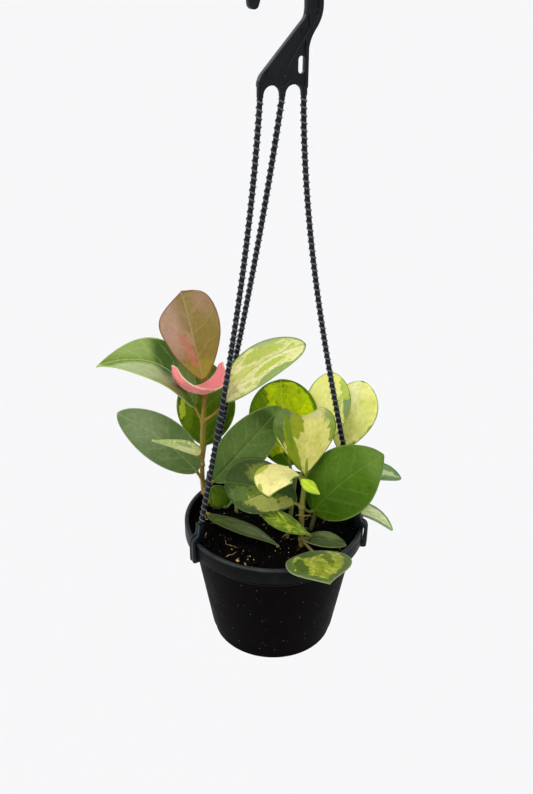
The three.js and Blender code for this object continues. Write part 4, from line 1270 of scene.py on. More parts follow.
@dataclass
class HoyaLeaf:
    """One thick oval leaf: the form of its blade and its skin."""

    name: str
    vine: int
    at: int  # the point of the vine that it grows from
    base: Point
    tip: Point
    faces: Point
    width: float
    skin: HoyaSkin
    tone: Tone
    seed: float
    widest: float = 0.5
    arch: float = 0.0
    cup: float = 0.0
    sway: float = 0.0
    blunt: float = 0.62
    points: Pair | None = None  # how sharply either side runs out to the tip
    rolled: float = 0.0  # degrees that the tip is rolled back, away from the face
    fold: Pair = (0.0, 0.0)  # degrees that the halves are rolled up towards the face
    thickness: float = 1.2
    margin_round: float = 0.28
    margin_roll: float = 0.5  # how far the margin turns down
    foot_width: float = 2.2
    tip_width: float = 0.5
    groove_depth: float = 0.34  # of the midrib
    groove_width: float = 0.9
    wave_height: float = 0.45
    vein_height: float = 0.05
    stations: int = 54
    columns: int = 36

    def frame(self) -> tuple[Vector, Vector, Vector, Vector]:
        """The blade's own frame: base, chord, face and side, in millimetres."""
        start = Vector(self.base)
        chord = Vector(self.tip) - start
        along = chord.normalized()
        face = Vector(self.faces)
        face = (face - along * face.dot(along)).normalized()
        return start, chord, face, along.cross(face)

    def midrib(self, share: float) -> Vector:
        """A point of the midrib at a share of its length."""
        start, chord, face, side = self.frame()
        bulge = 4 * share * (1 - share)
        return start + chord * share + face * (self.arch * bulge) + side * self.sway * bulge

    def direction(self, share: float) -> Vector:
        """The midrib's direction at a share of its length."""
        before, after = self.midrib(max(0.0, share - 0.01)), self.midrib(min(1.0, share + 0.01))
        return (after - before).normalized()

    def half_width(self, share: float, positive: bool) -> float:
        """The distance from midrib to margin in millimetres, at a share of the length, on one side."""
        warp = math.log(0.5) / math.log(self.widest)
        late = limited((share - 0.3) / 0.6)
        sharp = self.points[int(positive)] if self.points else self.blunt
        power = self.blunt + (sharp - self.blunt) * late * late * (3 - 2 * late)
        oval = max(0.0, math.sin(math.pi * share**warp)) ** power
        narrow = (self.foot_width + (self.tip_width - self.foot_width) * share) / 2
        return max(narrow, self.width / 2 * oval)

    def blade_point(self, share: float, across: float) -> Vector:
        """A point of the blade's middle surface.

        Args:
            share: from the base, 0, to the tip, 1.
            across: from one margin, -1, to the other, 1.

        Returns:
            The point in millimetres, with the midrib's groove and the margin's gentle waves.
        """
        _, _, face, _ = self.frame()
        along = self.direction(share)
        side = along.cross(face).normalized()
        normal = side.cross(along)
        half = self.half_width(share, across > 0)
        fullness = half / (self.width / 2)
        lift = self.cup * fullness * abs(across) ** 1.6
        reach = across * half
        groove = -self.groove_depth * math.exp(-((reach / self.groove_width) ** 2)) * min(1.0, fullness * 1.4)
        wave = self.wave_height * noise.noise(Vector((across * 1.3, share * 2.6, self.seed))) * abs(across)
        roll = -self.margin_roll * fullness * abs(across) ** 7
        fanned = (share * self.length() - 1.1 * abs(reach)) * 2 * math.pi / VEIN_PITCH
        veins = self.vein_height * math.cos(fanned) * min(1.0, abs(across) * 3)
        rise = groove + wave + roll + veins * fullness
        if any(self.fold):
            rolling = math.radians(self.fold[int(across > 0)]) * min(1.0, fullness * 1.1)
            bend = rolling * across
            radius = half / max(1e-3, rolling)
            turned = normal * math.cos(bend) - side * math.sin(bend)
            outwards = side * radius * math.sin(bend)
            return self.midrib(share) + outwards + normal * radius * (1 - math.cos(bend)) + turned * rise
        # the middle of a rolled tip turns back sooner than its sides, which leaves two lobes
        spread = abs(reach) / (self.width / 2)
        first = 0.72 - 0.08 * max(0.0, 1 - (spread / 0.6) ** 2) ** 2
        late = max(0.0, share - first)
        if self.rolled and late:
            bend = math.radians(self.rolled) * late / (1 - first) * (1 - 0.62 * min(1.0, spread / 0.62) ** 2)
            chord = 2 * math.sin(bend / 2) / bend * (late * self.length())
            forward, back = chord * math.cos(bend / 2), chord * math.sin(bend / 2)
            return self.midrib(first) + along * forward - normal * (back - lift - rise) + side * reach
        return self.midrib(share) + side * reach + normal * (lift + rise)

    def length(self) -> float:
        """Length of the chord from base to tip in millimetres."""
        return (Vector(self.tip) - Vector(self.base)).length

    def build(self) -> None:
        """Form the blade from a grid, give it its thickness, round its margin and dress it."""
        start_fresh()
        bpy.ops.mesh.primitive_grid_add(x_subdivisions=self.columns, y_subdivisions=self.stations, size=2)
        blade = added(f"{self.name}_blade")
        length = self.length()
        thin = blade.vertex_groups.new(name="thin")
        spots: list[float] = []
        for vertex in blade.data.vertices:
            # rows and columns are closer together at the ends and margins
            wide = vertex.co.x
            across = max(-1.0, min(1.0, wide - 0.115 * math.sin(2 * math.pi * wide)))
            share = (1 - math.cos(math.pi * (vertex.co.y + 1) / 2)) / 2
            half = self.half_width(share, across > 0)
            inwards = min(half * (1 - abs(across)), min(share, 1 - share) * length * 1.6)
            spots.extend((across * half, share * length, inwards))
            thin.add([vertex.index], 1 - 0.38 * abs(across) ** 1.5, "REPLACE")
            vertex.co = place(self.blade_point(share, across))
        blade.data.update()
        store(blade, "blade", spots, vectors=True)
        # the upper face is the one that `faces` points to; a grid's normal may point the other way
        _, _, face, _ = self.frame()
        if blade.data.polygons[len(blade.data.polygons) // 2].normal.dot(face) < 0:
            with editing(blade):
                bpy.ops.mesh.flip_normals()
        skins = [
            self.skin.material(f"waxy_{self.name}_{side}", length, self.width, self.seed, side == "lower")
            for side in ("upper", "lower")
        ]
        dress(blade, *skins)
        flesh = blade.modifiers.new("flesh", "SOLIDIFY")
        flesh.thickness = self.thickness * MM
        flesh.offset = 0
        flesh.vertex_group = "thin"
        flesh.material_offset = 1
        round_edges(blade, self.margin_round, 50)
        bpy.ops.object.shade_smooth()
        settle(blade, self.tone.value, self.name)


# ------------------------------------------------------------------------------------ stems
@dataclass
class Vine:
    """One rooted cutting: its stem, the swollen nodes and the petioles of its leaves."""

    name: str
    radius: float
    points: tuple[Point, ...]
    finish: YoungHoyaStem
    spurs: tuple[tuple[Point, Point, float], ...] = ()  # aerial roots: start, end and radius
    root_depth: float = 8.0
    petiole_radius: float = 1.15
    node_radius: float = 1.28  # as a share of the stem's
    grain: float = 0.36  # the size of the cells that the skin is joined with
    steps: int = 12  # lines between two points of the stem, and along a petiole
    spur_steps: int = 5

    def path(self) -> list[Vector]:
        """The stem's middle line, a centripetal spline through its points, from the root up."""
        first = Vector(self.points[0])
        knots = [Vector((first.x, first.y, first.z - self.root_depth))] + [Vector(point) for point in self.points]
        knots = [knots[0] * 2 - knots[1]] + knots + [knots[-1] * 2 - knots[-2]]

        def between(a: Vector, b: Vector, start: float, end: float, t: float) -> Vector:
            """The point at a time, on the line from one point and time to another."""
            return a * ((end - t) / (end - start)) + b * ((t - start) / (end - start))

        line: list[Vector] = []
        for a, b, c, d in zip(knots, knots[1:], knots[2:], knots[3:]):
            times = [0.0]
            for before, after in ((a, b), (b, c), (c, d)):
                times.append(times[-1] + (after - before).length ** 0.5)
            ta, tb, tc, td = times
            for step in range(self.steps):
                t = tb + (tc - tb) * step / self.steps
                bc = between(b, c, tb, tc, t)
                abc = between(between(a, b, ta, tb, t), bc, ta, tc, t)
                bcd = between(bc, between(c, d, tc, td, t), tb, td, t)
                line.append(between(abc, bcd, tb, tc, t))
        line.append(Vector(self.points[-1]))
        return line

    def petiole(self, leaf: HoyaLeaf) -> list[Vector]:
        """The middle line of a leaf's petiole, from the node to the foot of its blade."""
        node, base = Vector(self.points[leaf.at]), Vector(leaf.base)
        along = leaf.direction(0)
        bend = base - along * (base - node).length * 0.45
        end = base + along * 1.2
        shares = [step / self.steps for step in range(self.steps + 1)]
        return [node * (1 - t) ** 2 + bend * 2 * t * (1 - t) + end * t * t for t in shares]

    def build(self, leaves: Sequence[HoyaLeaf]) -> None:
        """Join stem, nodes and the petioles of its leaves into one skin and dress it."""
        line = self.path()
        thick = [self.radius * (1.04 - 0.14 * index / len(line)) for index in range(len(line))]
        parts = [tube("stem", line, thick, 16)]
        for index in sorted({leaf.at for leaf in leaves}):
            start_fresh()
            swollen = self.radius * self.node_radius * MM
            bpy.ops.mesh.primitive_uv_sphere_add(
                segments=20, ring_count=12, radius=swollen, location=place(self.points[index])
            )
            swelling = added("node")
            swelling.scale = (1.0, 1.0, 0.8)
            apply_place(swelling)
            parts.append(swelling)
        waist = [1.12 - 0.3 * math.sin(math.pi * step / self.steps) for step in range(self.steps + 1)]
        for leaf in leaves:
            parts.append(tube("petiole", self.petiole(leaf), [self.petiole_radius * share for share in waist], 12))
        for start, end, width in self.spurs:
            steps = range(self.spur_steps + 1)
            rises = [Vector((0, 0, 0.8 * math.sin(math.pi * step / self.spur_steps))) for step in steps]
            arc = [Vector(start).lerp(Vector(end), step / self.spur_steps) + rises[step] for step in steps]
            parts.append(tube("spur", arc, [width * (1 - 0.13 * step) for step in steps], 8))
        stem = join(parts, f"{self.name}_skin")
        skin = stem.modifiers.new("skin", "REMESH")
        skin.mode = "VOXEL"
        skin.voxel_size = self.grain * MM
        calm = stem.modifiers.new("calm", "SMOOTH")
        calm.factor = 0.5
        calm.iterations = 3
        finish_modifiers(stem)
        bpy.ops.object.shade_smooth()
        dress(stem, self.finish.material())
        settle(stem, "stem", self.name)


VINES = (
    Vine(
        "stem_left", 1.7,
        ((-42.5, 19.8, -8), (-43.4, 19.4, -3), (-46.5, 19, 4), (-47.5, 19, 25), (-46, 18, 58), (-44.6, 17, 78)),
        YoungHoyaStem("young_hoya_bark_left", "#947c1f", "#7d6a24", blush="#8c5626", blush_from=62),
    ),
    Vine(
        "stem_front", 1.9, ((17.5, -22, -8), (17.3, -21.5, -3), (17, -20, 20), (18.4, -18.5, 38)),
        YoungHoyaStem("young_hoya_bark_front", "#717818", "#6a6228"),
        spurs=(((17.0, -21, 13.5), (24.0, -24.5, 16.2), 0.7), ((17.0, -21, 13.5), (12.6, -23, 15.5), 0.8)),
    ),
    Vine(
        "stem_middle", 1.6, ((9, -12, -8), (9.5, -10, -2), (11, -3, 8), (13, 8, 24)),
        YoungHoyaStem("young_hoya_bark_middle", "#566f1c", "#77622f", old_until=24),
        spurs=(((9.2, -11, -5.5), (14.5, -15, -4.5), 1.0), ((9.2, -11.5, -6.5), (5.0, -15.5, -7.0), 0.9)),
    ),
    Vine(
        "stem_right", 1.6, ((24, -3, -8), (25.5, -1, -2), (29, 4, 12), (31, 9, 34)),
        YoungHoyaStem("young_hoya_bark_right", "#4a641c", "#55551f"),
    ),
    Vine(
        "stem_back", 1.5, ((-25, 15, -8), (-25, 16.5, -3), (-26, 19, 2)),
        YoungHoyaStem("young_hoya_bark_back", "#6f8f35", "#6f6a38", old_until=10),
    ),
)

LEAVES = (
    HoyaLeaf(
        "leaf_left_bronze", 0, 5, (-45.4, 18, 87), (-57.5, 22, 143), (0, -1, 0.1), 37,
        HoyaSkin(
            "#937d4e", "#8a7641", "#7d5c42", 0.6, "#a37a68", margin_ragged=0.3, lean=0.9, vein="#b39b74",
            vein_strength=0.2, midrib_strength=0.65, rim="#7a4f3c", rim_strength=0.6, fleck=0.3, mottle=0.12,
            roughness=0.34, gloss=0.45,
            patches=(
                # the pale pinkish patch on the left half is a painted sheen
                Patch((-0.66, 0.66), (8, 22), "#b5917e", soft=0.5, ragged=0.3, strength=0.85),
                Patch((-0.1, 0.6), (3.8, 15), "#8f7550", turn=-8, soft=0.5, strength=0.7),
                Patch((0.62, 0.86), (6, 8), "#a07c64", soft=0.5, strength=0.7),
                Patch((0.55, 0.32), (12, 22), "#827231", soft=0.5, ragged=0.25, strength=0.8),
                Patch((0.0, 0.08), (12, 9), "#9a9937", soft=0.5, ragged=0.3, strength=0.7),
                Patch((-0.24, 0.36), (2.4, 12), "#bd7560", turn=-15, soft=0.25, ragged=0.6, strength=0.8),
                Patch((-0.12, 0.46), (2.2, 5), "#b98a70", turn=-15, soft=0.4, ragged=0.6, strength=0.7),
            )
        ),
        widest=0.65, arch=-2, cup=2.5, blunt=0.4, points=(1.0, 0.22), tone=Tone.BRONZE, seed=1.3,
    ),
    HoyaLeaf(
        "leaf_left_pink", 0, 5, (-53.0, 14, 84.2), (-38.0, -11, 94.8), (-0.05, 0.5, 1), 54,
        HoyaSkin(
            "#e88a8c", "#dc7a7c", "#c98f78", 0.5, "#e5868a", margin_ragged=0.3, vein="#efaaa2", vein_strength=0.3,
            rim="#dcc09c", rim_strength=0.8, fleck=0.0, mottle=0.1, under_share=0.7, roughness=0.42, glow=0.22,
            patches=(
                Patch((0.0, 0.03), (5, 8), "#d6c894", soft=0.4, ragged=0.2),
                Patch((-0.4, 0.4), (4.0, 16), "#d0696f", soft=0.5, strength=0.6),
                Patch((0.5, 0.5), (4.0, 16), "#c9756a", soft=0.5, strength=0.6),
            )
        ),
        widest=0.46, arch=-3, fold=(104, 88), tone=Tone.PINK, seed=2.1,
    ),
    HoyaLeaf(
        "leaf_left_arching", 0, 4, (-51, 17, 69), (-109.5, 12, 97.5), (0.2, -0.2, 1), 42,
        HoyaSkin(
            "#6a862f", "#617d28", "#87a05a", 0.7, "#a3b474", vein="#b0bc75", vein_strength=0.16, midrib_strength=0.75,
            rim="#b3bf80", rim_strength=0.5, roughness=0.33, gloss=0.35,
            patches=(
                Patch((0.55, 0.72), (9, 17), "#889c55", soft=0.45, ragged=0.12, strength=0.85),
                Patch((-0.55, 0.62), (8.5, 30), "#a8b680", soft=0.25, ragged=0.12, strength=0.9),
                # the dark green band across the blade is painted shade
                Patch((0.42, 0.45), (19, 7.5), "#2c4f00", soft=0.45, ragged=0.15, turn=-20, strength=0.97),
                Patch((0.6, 0.12), (10, 6), "#6f8a4a", soft=0.4, ragged=0.2, strength=0.8),
            )
        ),
        widest=0.48, arch=17, cup=4.2, sway=3, points=(1.15, 0.95), tone=Tone.GREEN, seed=3.7,
    ),
    HoyaLeaf(
        "leaf_left_cream", 0, 4, (-31.5, 13, 75), (16.3, -2, 121), (0, -0.9, 0.5), 23,
        HoyaSkin(
            "#e1dda7", "#d6d88f", "#94aa68", 1.0, "#dfe0a6", margin_ragged=1.1, stroke="#b8c268", stroke_share=0.4,
            stroke_grain=(4.6, 16.0), lean=3.4, vein="#93a24c", vein_strength=0.08, midrib_strength=0.55,
            rim="#6f8a50", rim_strength=0.75, mottle=0.08, glow=0.2,
            patches=(
                Patch((-0.45, 0.62), (2.8, 14), "#b7c45c", turn=4, ragged=0.7),
                Patch((-0.2, 0.35), (1.6, 9), "#c6ce6c", turn=8, ragged=0.7),
                Patch((0.3, 0.62), (1.5, 13), "#b0c055", turn=-3, ragged=0.8),
                Patch((0.78, 0.6), (1.8, 15), "#8fa45c", turn=-5, ragged=0.6),
                Patch((-0.8, 0.75), (2.2, 12), "#a9b878", turn=4, ragged=0.6),
            )
        ),
        widest=0.52, arch=2, cup=2, sway=-6, blunt=0.5, points=(0.5, 0.42), tone=Tone.CREAM, seed=4.4,
    ),
    HoyaLeaf(
        "leaf_left_behind", 0, 3, (-46.4, 31, 33), (-43.8, 38, 90), (0, -1, 0.4), 38,
        HoyaSkin(
            "#56760d", "#4a680c", "#6a8a19", 0.9, "#8da244", vein="#99b031", vein_strength=0.22, midrib_strength=0.5,
            rim="#99b039",
            patches=(
                Patch((-0.6, 0.34), (3.2, 11), "#6d8a14", soft=0.4),
                Patch((-0.8, 0.45), (1.8, 7), "#b9c53c", ragged=0.8),
                Patch((0.25, 0.82), (12, 10), "#668a3b", soft=0.5, strength=0.8),
            )
        ),
        arch=2, cup=2, tone=Tone.GREEN, seed=5.2,
    ),
    HoyaLeaf(
        "leaf_left_front", 0, 3, (-48.6, 5, 40.6), (-71.4, -21.5, 65.6), (0, 0.6, 0.8), 23,
        HoyaSkin(
            "#c1ce6f", "#a9bb5a", "#84a249", 0.7, "#d3dc95", stroke="#f3f39c", stroke_share=0.5,
            stroke_grain=(2.2, 9.0), rim="#c1cc80", under_share=0.35,
            patches=(
                Patch((0.1, 0.3), (4, 9), "#f3f3a6", ragged=0.8),
                Patch((-0.5, 0.55), (2.4, 9), "#84a43e", ragged=0.9),
                Patch((0.6, 0.7), (2.4, 8), "#93ad4b", ragged=0.9),
            )
        ),
        arch=2, cup=1.5, points=(1.2, 0.6), tone=Tone.LIME, seed=6.9,
    ),
    HoyaLeaf(
        "leaf_left_low", 0, 2, (-50.6, 14.5, 22.7), (-97, 3, 70.5), (-0.2, -0.8, 0.6), 29,
        HoyaSkin(
            "#6b8050", "#5e7444", "#65794a", 0.7, "#8a9a74", vein="#97a67c", vein_strength=0.24, midrib_strength=0.5,
            rim="#a0ad84", rim_strength=0.45, gloss=0.25,
            patches=(
                # the paler patch towards the tip is a painted sheen
                Patch((0.1, 0.72), (11, 14), "#7f9068", soft=0.6, ragged=0.15, strength=0.7),
                Patch((0.0, 0.14), (13, 12), "#5d7739", soft=0.6, ragged=0.15, strength=0.8),
            )
        ),
        arch=3, cup=1.5, sway=3.5, blunt=0.55, tone=Tone.DARK, seed=7.1,
    ),
    HoyaLeaf(
        "leaf_left_inner", 0, 2, (-39.7, 12, 17.4), (3, 0, 78.5), (0.1, -0.85, 0.5), 29,
        HoyaSkin(
            "#496325", "#3f581d", "#4c672b", 0.7, "#7a9053", vein="#809554", vein_strength=0.2, midrib_strength=0.3,
            rim="#8a9f60", rim_strength=0.35, gloss=0.35,
            patches=(
                Patch((-0.1, 0.5), (12, 16), "#587135", soft=0.6, ragged=0.15, strength=0.6),
                Patch((0.0, 0.98), (16, 7), "#567125", soft=0.3, ragged=0.15, strength=0.8),
                # the dark band near the tip is a painted shadow of the leaf above
                Patch((0.0, 0.84), (17, 5), "#284308", soft=0.5, ragged=0.15, strength=0.85),
            )
        ),
        widest=0.52, arch=3, cup=2, blunt=0.55, tone=Tone.DARK, seed=8.6,
    ),
    HoyaLeaf(
        "leaf_left_soil", 0, 1, (-42.5, 3.5, -2.8), (3.5, -29, -3.5), (0.1, 0.3, 1), 20,
        HoyaSkin(
            "#485628", "#3e4c20", "#313f1a", 1.6, "#5d6b40", margin_ragged=0.8, stroke="#5e6d35", stroke_share=0.35,
            stroke_grain=(1.4, 16.0), lean=3.0, vein="#6f7c44", vein_strength=0.2, midrib_strength=0.5, rim="#6a794c",
            gloss=0.35
        ),
        widest=0.42, arch=3, cup=-1.5, points=(1.2, 1.0), tone=Tone.GREEN, seed=9.4,
    ),
    HoyaLeaf(
        "leaf_front_cream", 1, 3, (18.4, -20.5, 43.2), (16.3, -8.5, 86.5), (0, -1, 0.3), 37,
        HoyaSkin(
            "#c3be6b", "#b5b25a", "#5f7427", 0.5, "#b5b26b", margin_ragged=0.7, stroke="#a3a843", stroke_share=0.08,
            stroke_grain=(3.4, 12.0), lean=1.8, vein="#a0a04b", vein_strength=0.12, midrib_strength=0.12,
            rim="#475c20", rim_strength=0.6, mottle=0.12, glow=0.2,
            patches=(
                Patch((-0.44, 0.44), (3.2, 17), "#768415", turn=-17),
                Patch((-0.36, 0.75), (6.0, 10), "#828c20", turn=-6, ragged=0.55),
                Patch((-0.88, 0.62), (3.6, 16), "#506627", turn=-8, ragged=0.55),
                Patch((-0.8, 0.86), (6.5, 7), "#5e713d", turn=-8, soft=0.2),
                Patch((-0.5, 0.62), (1.6, 10), "#617a1a", turn=-12, ragged=0.8),
                Patch((-0.72, 0.36), (1.7, 10), "#bfbc6a", turn=-22, ragged=0.45),
                Patch((0.04, 0.08), (0.9, 8), "#76881a", turn=3),
                Patch((0.93, 0.55), (2.6, 15), "#7a8b2d", ragged=1.0),
                Patch((0.86, 0.86), (5, 6), "#7c8c46", ragged=0.6, soft=0.3),
                Patch((0.35, 0.9), (6, 5), "#bab779", ragged=0.4, soft=0.5),
            )
        ),
        widest=0.7, arch=4, cup=3.5, blunt=0.5, rolled=105, points=(0.42, 0.42), tone=Tone.CREAM, seed=10.5,
    ),
    HoyaLeaf(
        "leaf_front_small_cream", 1, 3, (15.2, -25, 45.2), (-2.6, -44, 42.6), (-0.3, -0.3, 1), 25,
        HoyaSkin(
            "#e3db95", "#dbd286", "#9ba742", 0.5, "#d2cd8f", margin_ragged=0.9, stroke="#aeb348", stroke_share=0.08,
            vein="#c6bf73", vein_strength=0.25, midrib_strength=0.2, rim="#818f46", rim_strength=0.5, mottle=0.08,
            glow=0.22,
            patches=(
                Patch((0.85, 0.55), (1.6, 3.4), "#a5af3f", ragged=0.8),
                Patch((0.5, 0.9), (1.8, 2.0), "#99a43b", ragged=0.8), Patch((-0.9, 0.3), (1.5, 8), "#8a9860"),
            )
        ),
        widest=0.58, arch=5, cup=1.5, sway=6, blunt=0.7, points=(1.1, 0.7), tone=Tone.CREAM, seed=11.8,
    ),
    HoyaLeaf(
        "leaf_front_bud", 1, 3, (15.6, -28.5, 45.2), (26.4, -37, 40.6), (0.1, -0.5, 0.8), 7.5,
        HoyaSkin(
            "#b4cc2a", "#a5c22a", "#8fae3c", 0.4, "#a9c444", margin_ragged=0.3, vein="#cfdc62", fleck=0.0, glow=0.2
        ),
        arch=3.2, cup=-0.8, sway=1.0, blunt=0.8, tone=Tone.LIME, seed=12.2,
    ),
    HoyaLeaf(
        "leaf_front_round", 1, 2, (24, -17, 15.2), (62.3, -34, 66.2), (-0.3, -0.9, 0.5), 41,
        HoyaSkin(
            "#416209", "#375706", "#4c6c28", 1.0, "#6f8735", margin_ragged=0.5, vein="#6f8d2c", vein_strength=0.18,
            midrib_strength=0.32, rim="#6f8938", rim_strength=0.35, roughness=0.36,
            patches=(
                # the paler patch at the tip is a painted sheen
                Patch((0.1, 0.95), (18, 11), "#617e35", soft=0.6, ragged=0.12, strength=0.75),
                Patch((-0.45, 0.62), (10, 14), "#4e6f1d", soft=0.6, ragged=0.12, strength=0.7),
                Patch((0.5, 0.3), (10, 14), "#325005", soft=0.6, ragged=0.12, strength=0.7),
            )
        ),
        arch=3, cup=1.5, blunt=0.46, points=(0.62, 0.72), sway=-2, tone=Tone.GREEN, seed=13.6,
    ),
    HoyaLeaf(
        "leaf_front_large", 1, 2, (13.5, -19.5, 22), (-31, -5, 27.5), (-0.1, -0.85, 0.6), 34,
        # its colours are darker than the leaf's own: painted shade from the leaves above
        HoyaSkin(
            "#34491f", "#2c3f19", "#2f431a", 1.0, "#586c3e", vein="#586c2c", vein_strength=0.18, midrib_strength=0.45,
            rim="#66784a",
            patches=(
                Patch((-0.42, 0.42), (6.4, 21), "#516514", ragged=0.75),
                Patch((-0.5, 0.3), (4.6, 16), "#8e9349", ragged=0.8),
                Patch((-0.6, 0.5), (1.8, 9), "#898e43", ragged=0.9),
                Patch((0.5, 0.5), (6.5, 10), "#69732c", ragged=0.45, soft=0.2),
                Patch((-0.15, 0.12), (3.5, 5), "#858a41", ragged=0.6),
                Patch((-0.45, 0.8), (4.5, 6), "#4b612c", ragged=0.6, soft=0.3),
            )
        ),
        widest=0.58, arch=2, cup=2, sway=3, blunt=0.5, tone=Tone.DARK, seed=14.3,
    ),
    HoyaLeaf(
        "leaf_front_low_left", 1, 1, (21, -30, 7), (-9, -16, 14.5), (-0.2, -0.8, 0.6), 11,
        HoyaSkin(
            "#6b8314", "#5c7412", "#466117", 1.1, "#839351", margin_ragged=0.8, stroke="#a2ae3b", stroke_share=0.4,
            stroke_grain=(1.8, 9.0), lean=2.4, vein="#97a83e", rim="#80934b"
        ),
        widest=0.55, arch=1, cup=1.5, tone=Tone.LIME, seed=15.7,
    ),
    HoyaLeaf(
        "leaf_front_low_right", 1, 1, (18.5, -25, -0.5), (44.5, -29.5, -1.5), (-0.1, 0, 1), 15.5,
        HoyaSkin(
            "#404c24", "#36431e", "#313d1a", 1.0, "#606e44", vein="#6c7944", vein_strength=0.25, midrib_strength=0.6,
            rim="#79895b", rim_strength=0.6, fleck=0.8,
            patches=(Patch((-0.6, 0.6), (3, 9), "#5a683b", soft=0.4, ragged=0.3),)
        ),
        arch=2, cup=1, tone=Tone.GREEN, seed=16.9,
    ),
    HoyaLeaf(
        "leaf_front_rim", 1, 1, (23.5, -41, 2), (32, -78, 7.5), (0, -0.1, 1), 39,
        HoyaSkin(
            "#909a2d", "#7c8623", "#556735", 4.2, "#7e8b49", margin_ragged=3.4, stroke="#afb353", stroke_share=0.36,
            stroke_grain=(4.0, 9.0), vein="#768222", vein_strength=0.16, midrib_strength=0.4, rim="#909a6d",
            rim_strength=0.7, mottle=0.2, glow=0.12,
            patches=(
                Patch((0.62, 0.55), (4, 10), "#4b5e22", ragged=1.0),
                Patch((-0.3, 0.35), (3, 8), "#61711b", ragged=1.0), Patch((0.1, 0.12), (9, 5), "#4a5d2d", ragged=0.8),
            )
        ),
        widest=0.38, arch=2, cup=-1.5, blunt=0.42, points=(1.05, 0.9), tone=Tone.LIME, seed=17.4,
    ),
    HoyaLeaf(
        "leaf_middle_lime", 2, 3, (9.5, 11, 30.8), (2.8, 20, 87), (0, -0.85, 0.5), 43,
        # its colours are brighter than the leaf's own, to offset the shade that falls on it: painted light
        HoyaSkin(
            "#c6dc07", "#acc309", "#5d7f09", 2.2, "#b6cb36", margin_ragged=1.3, stroke="#7d9e07", stroke_share=0.2,
            stroke_grain=(4.2, 14.0), lean=1.7, vein="#e8f32e", vein_strength=0.18, midrib_strength=0.35,
            rim="#3d5712", rim_strength=0.65, mottle=0.2, glow=0.2,
            patches=(
                Patch((-0.7, 0.78), (6, 10), "#6c8a09"), Patch((0.1, 0.2), (8, 16), "#f3f321"),
                Patch((0.75, 0.3), (4, 12), "#73970a"), Patch((0.0, 0.06), (13, 8), "#4d7212", ragged=0.3),
            )
        ),
        widest=0.6, arch=3, cup=2, sway=-1, blunt=0.37, points=(0.45, 0.42), tone=Tone.LIME, seed=18.8,
    ),
    HoyaLeaf(
        "leaf_middle_back", 2, 3, (18, 18, 22), (30, 50, 14), (0, 0, 1), 30,
        HoyaSkin(
            "#47782a", "#3d6c28", "#5c8a3c", 1.0, "#86a266", vein="#86a85a",
            patches=(Patch((0.3, 0.5), (5, 12), "#a9c04a", ragged=0.8),)
        ),
        arch=5, cup=1.5, tone=Tone.GREEN, seed=19.5,
    ),
    HoyaLeaf(
        "leaf_right_tip", 3, 3, (29.3, 14.5, 44), (34.8, 23, 91), (0, -0.9, 0.4), 28,
        HoyaSkin(
            "#f3f39c", "#f1ef86", "#b2c559", 0.6, "#e7e695", margin_ragged=0.8, vein="#e7e081", vein_strength=0.12,
            midrib_strength=0.12, rim="#5f7a34", rim_strength=0.75, mottle=0.08, glow=0.22,
            patches=(
                Patch((0.9, 0.66), (3.6, 12), "#8ba06a", soft=0.15),
                Patch((0.62, 0.85), (3, 8), "#becf5b", ragged=0.8, turn=-12),
                Patch((0.5, 0.6), (1.4, 8), "#ccd868", ragged=0.9),
            )
        ),
        widest=0.6, arch=2, cup=1.5, blunt=0.5, tone=Tone.CREAM, seed=20.1,
    ),
    HoyaLeaf(
        "leaf_right_pale", 3, 3, (42, 20.5, 37), (54.3, 29.5, 82.3), (0.1, -0.9, 0.4), 30,
        HoyaSkin(
            "#efec98", "#dfe07a", "#a0b845", 0.5, "#dade8c", margin_ragged=1.1, stroke="#c6d45c", stroke_share=0.06,
            vein="#ddde73", vein_strength=0.12, midrib_strength=0.1, rim="#5c762c", rim_strength=0.75, mottle=0.1,
            glow=0.22,
            patches=(
                Patch((-0.42, 0.84), (2.0, 8), "#b6c545", ragged=0.6, turn=6),
                Patch((-0.3, 0.8), (5, 10), "#f3f3b4", ragged=0.4, soft=0.5),
                Patch((0.9, 0.35), (1.6, 6), "#a0b439", ragged=0.8),
                Patch((0.5, 0.12), (3.0, 4), "#96a930", ragged=0.8),
            )
        ),
        widest=0.6, arch=2, cup=1.5, blunt=0.5, tone=Tone.CREAM, seed=21.9,
    ),
    HoyaLeaf(
        "leaf_right_far", 3, 2, (44, 11, 21), (80, 4, 26.5), (0.1, 0, 1), 24,
        HoyaSkin(
            "#6e8d52", "#638249", "#527341", 1.6, "#8ca477", vein="#97ab7a", rim="#97a980",
            patches=(Patch((0.0, 0.6), (3.5, 12), "#b4bf8d", ragged=0.6),)
        ),
        arch=5, cup=2, tone=Tone.LIME, seed=22.7,
    ),
    HoyaLeaf(
        "leaf_right_drooping", 3, 2, (42, 4, 3.7), (76.8, 0, -10), (0.5, 0, 1), 18,
        HoyaSkin(
            "#ebeebd", "#dce3ab", "#719156", 2.0, "#d3daa9", margin_ragged=1.2, stroke="#b4ca78", stroke_share=0.4,
            stroke_grain=(1.4, 16.0), lean=3.0, vein="#98b166", midrib_strength=0.7, rim="#9db187"
        ),
        arch=5, cup=2, tone=Tone.CREAM, seed=23.2,
    ),
    HoyaLeaf(
        "leaf_back_small", 4, 2, (-33, 14, -4), (-40, 12, 13.5), (0.3, -0.85, 0.5), 15,
        HoyaSkin(
            "#48670f", "#3e5e0d", "#33550e", 1.4, "#597028", margin_ragged=1.0, vein="#688127",
            patches=(Patch((-0.5, 0.5), (3, 7), "#67781f", soft=0.4),)
        ),
        arch=1, cup=1, tone=Tone.LIME, seed=24.6,
    ),
    HoyaLeaf(
        "leaf_back_upper", 4, 2, (-24, 22, 6), (-27, 36, 34), (0, -0.9, 0.4), 24,
        HoyaSkin("#2c4927", "#264322", "#36562d", 0.8, "#536d44", vein="#506c41", bloom=0.2), arch=2, cup=1,
        tone=Tone.DARK, seed=25.3,
    ),
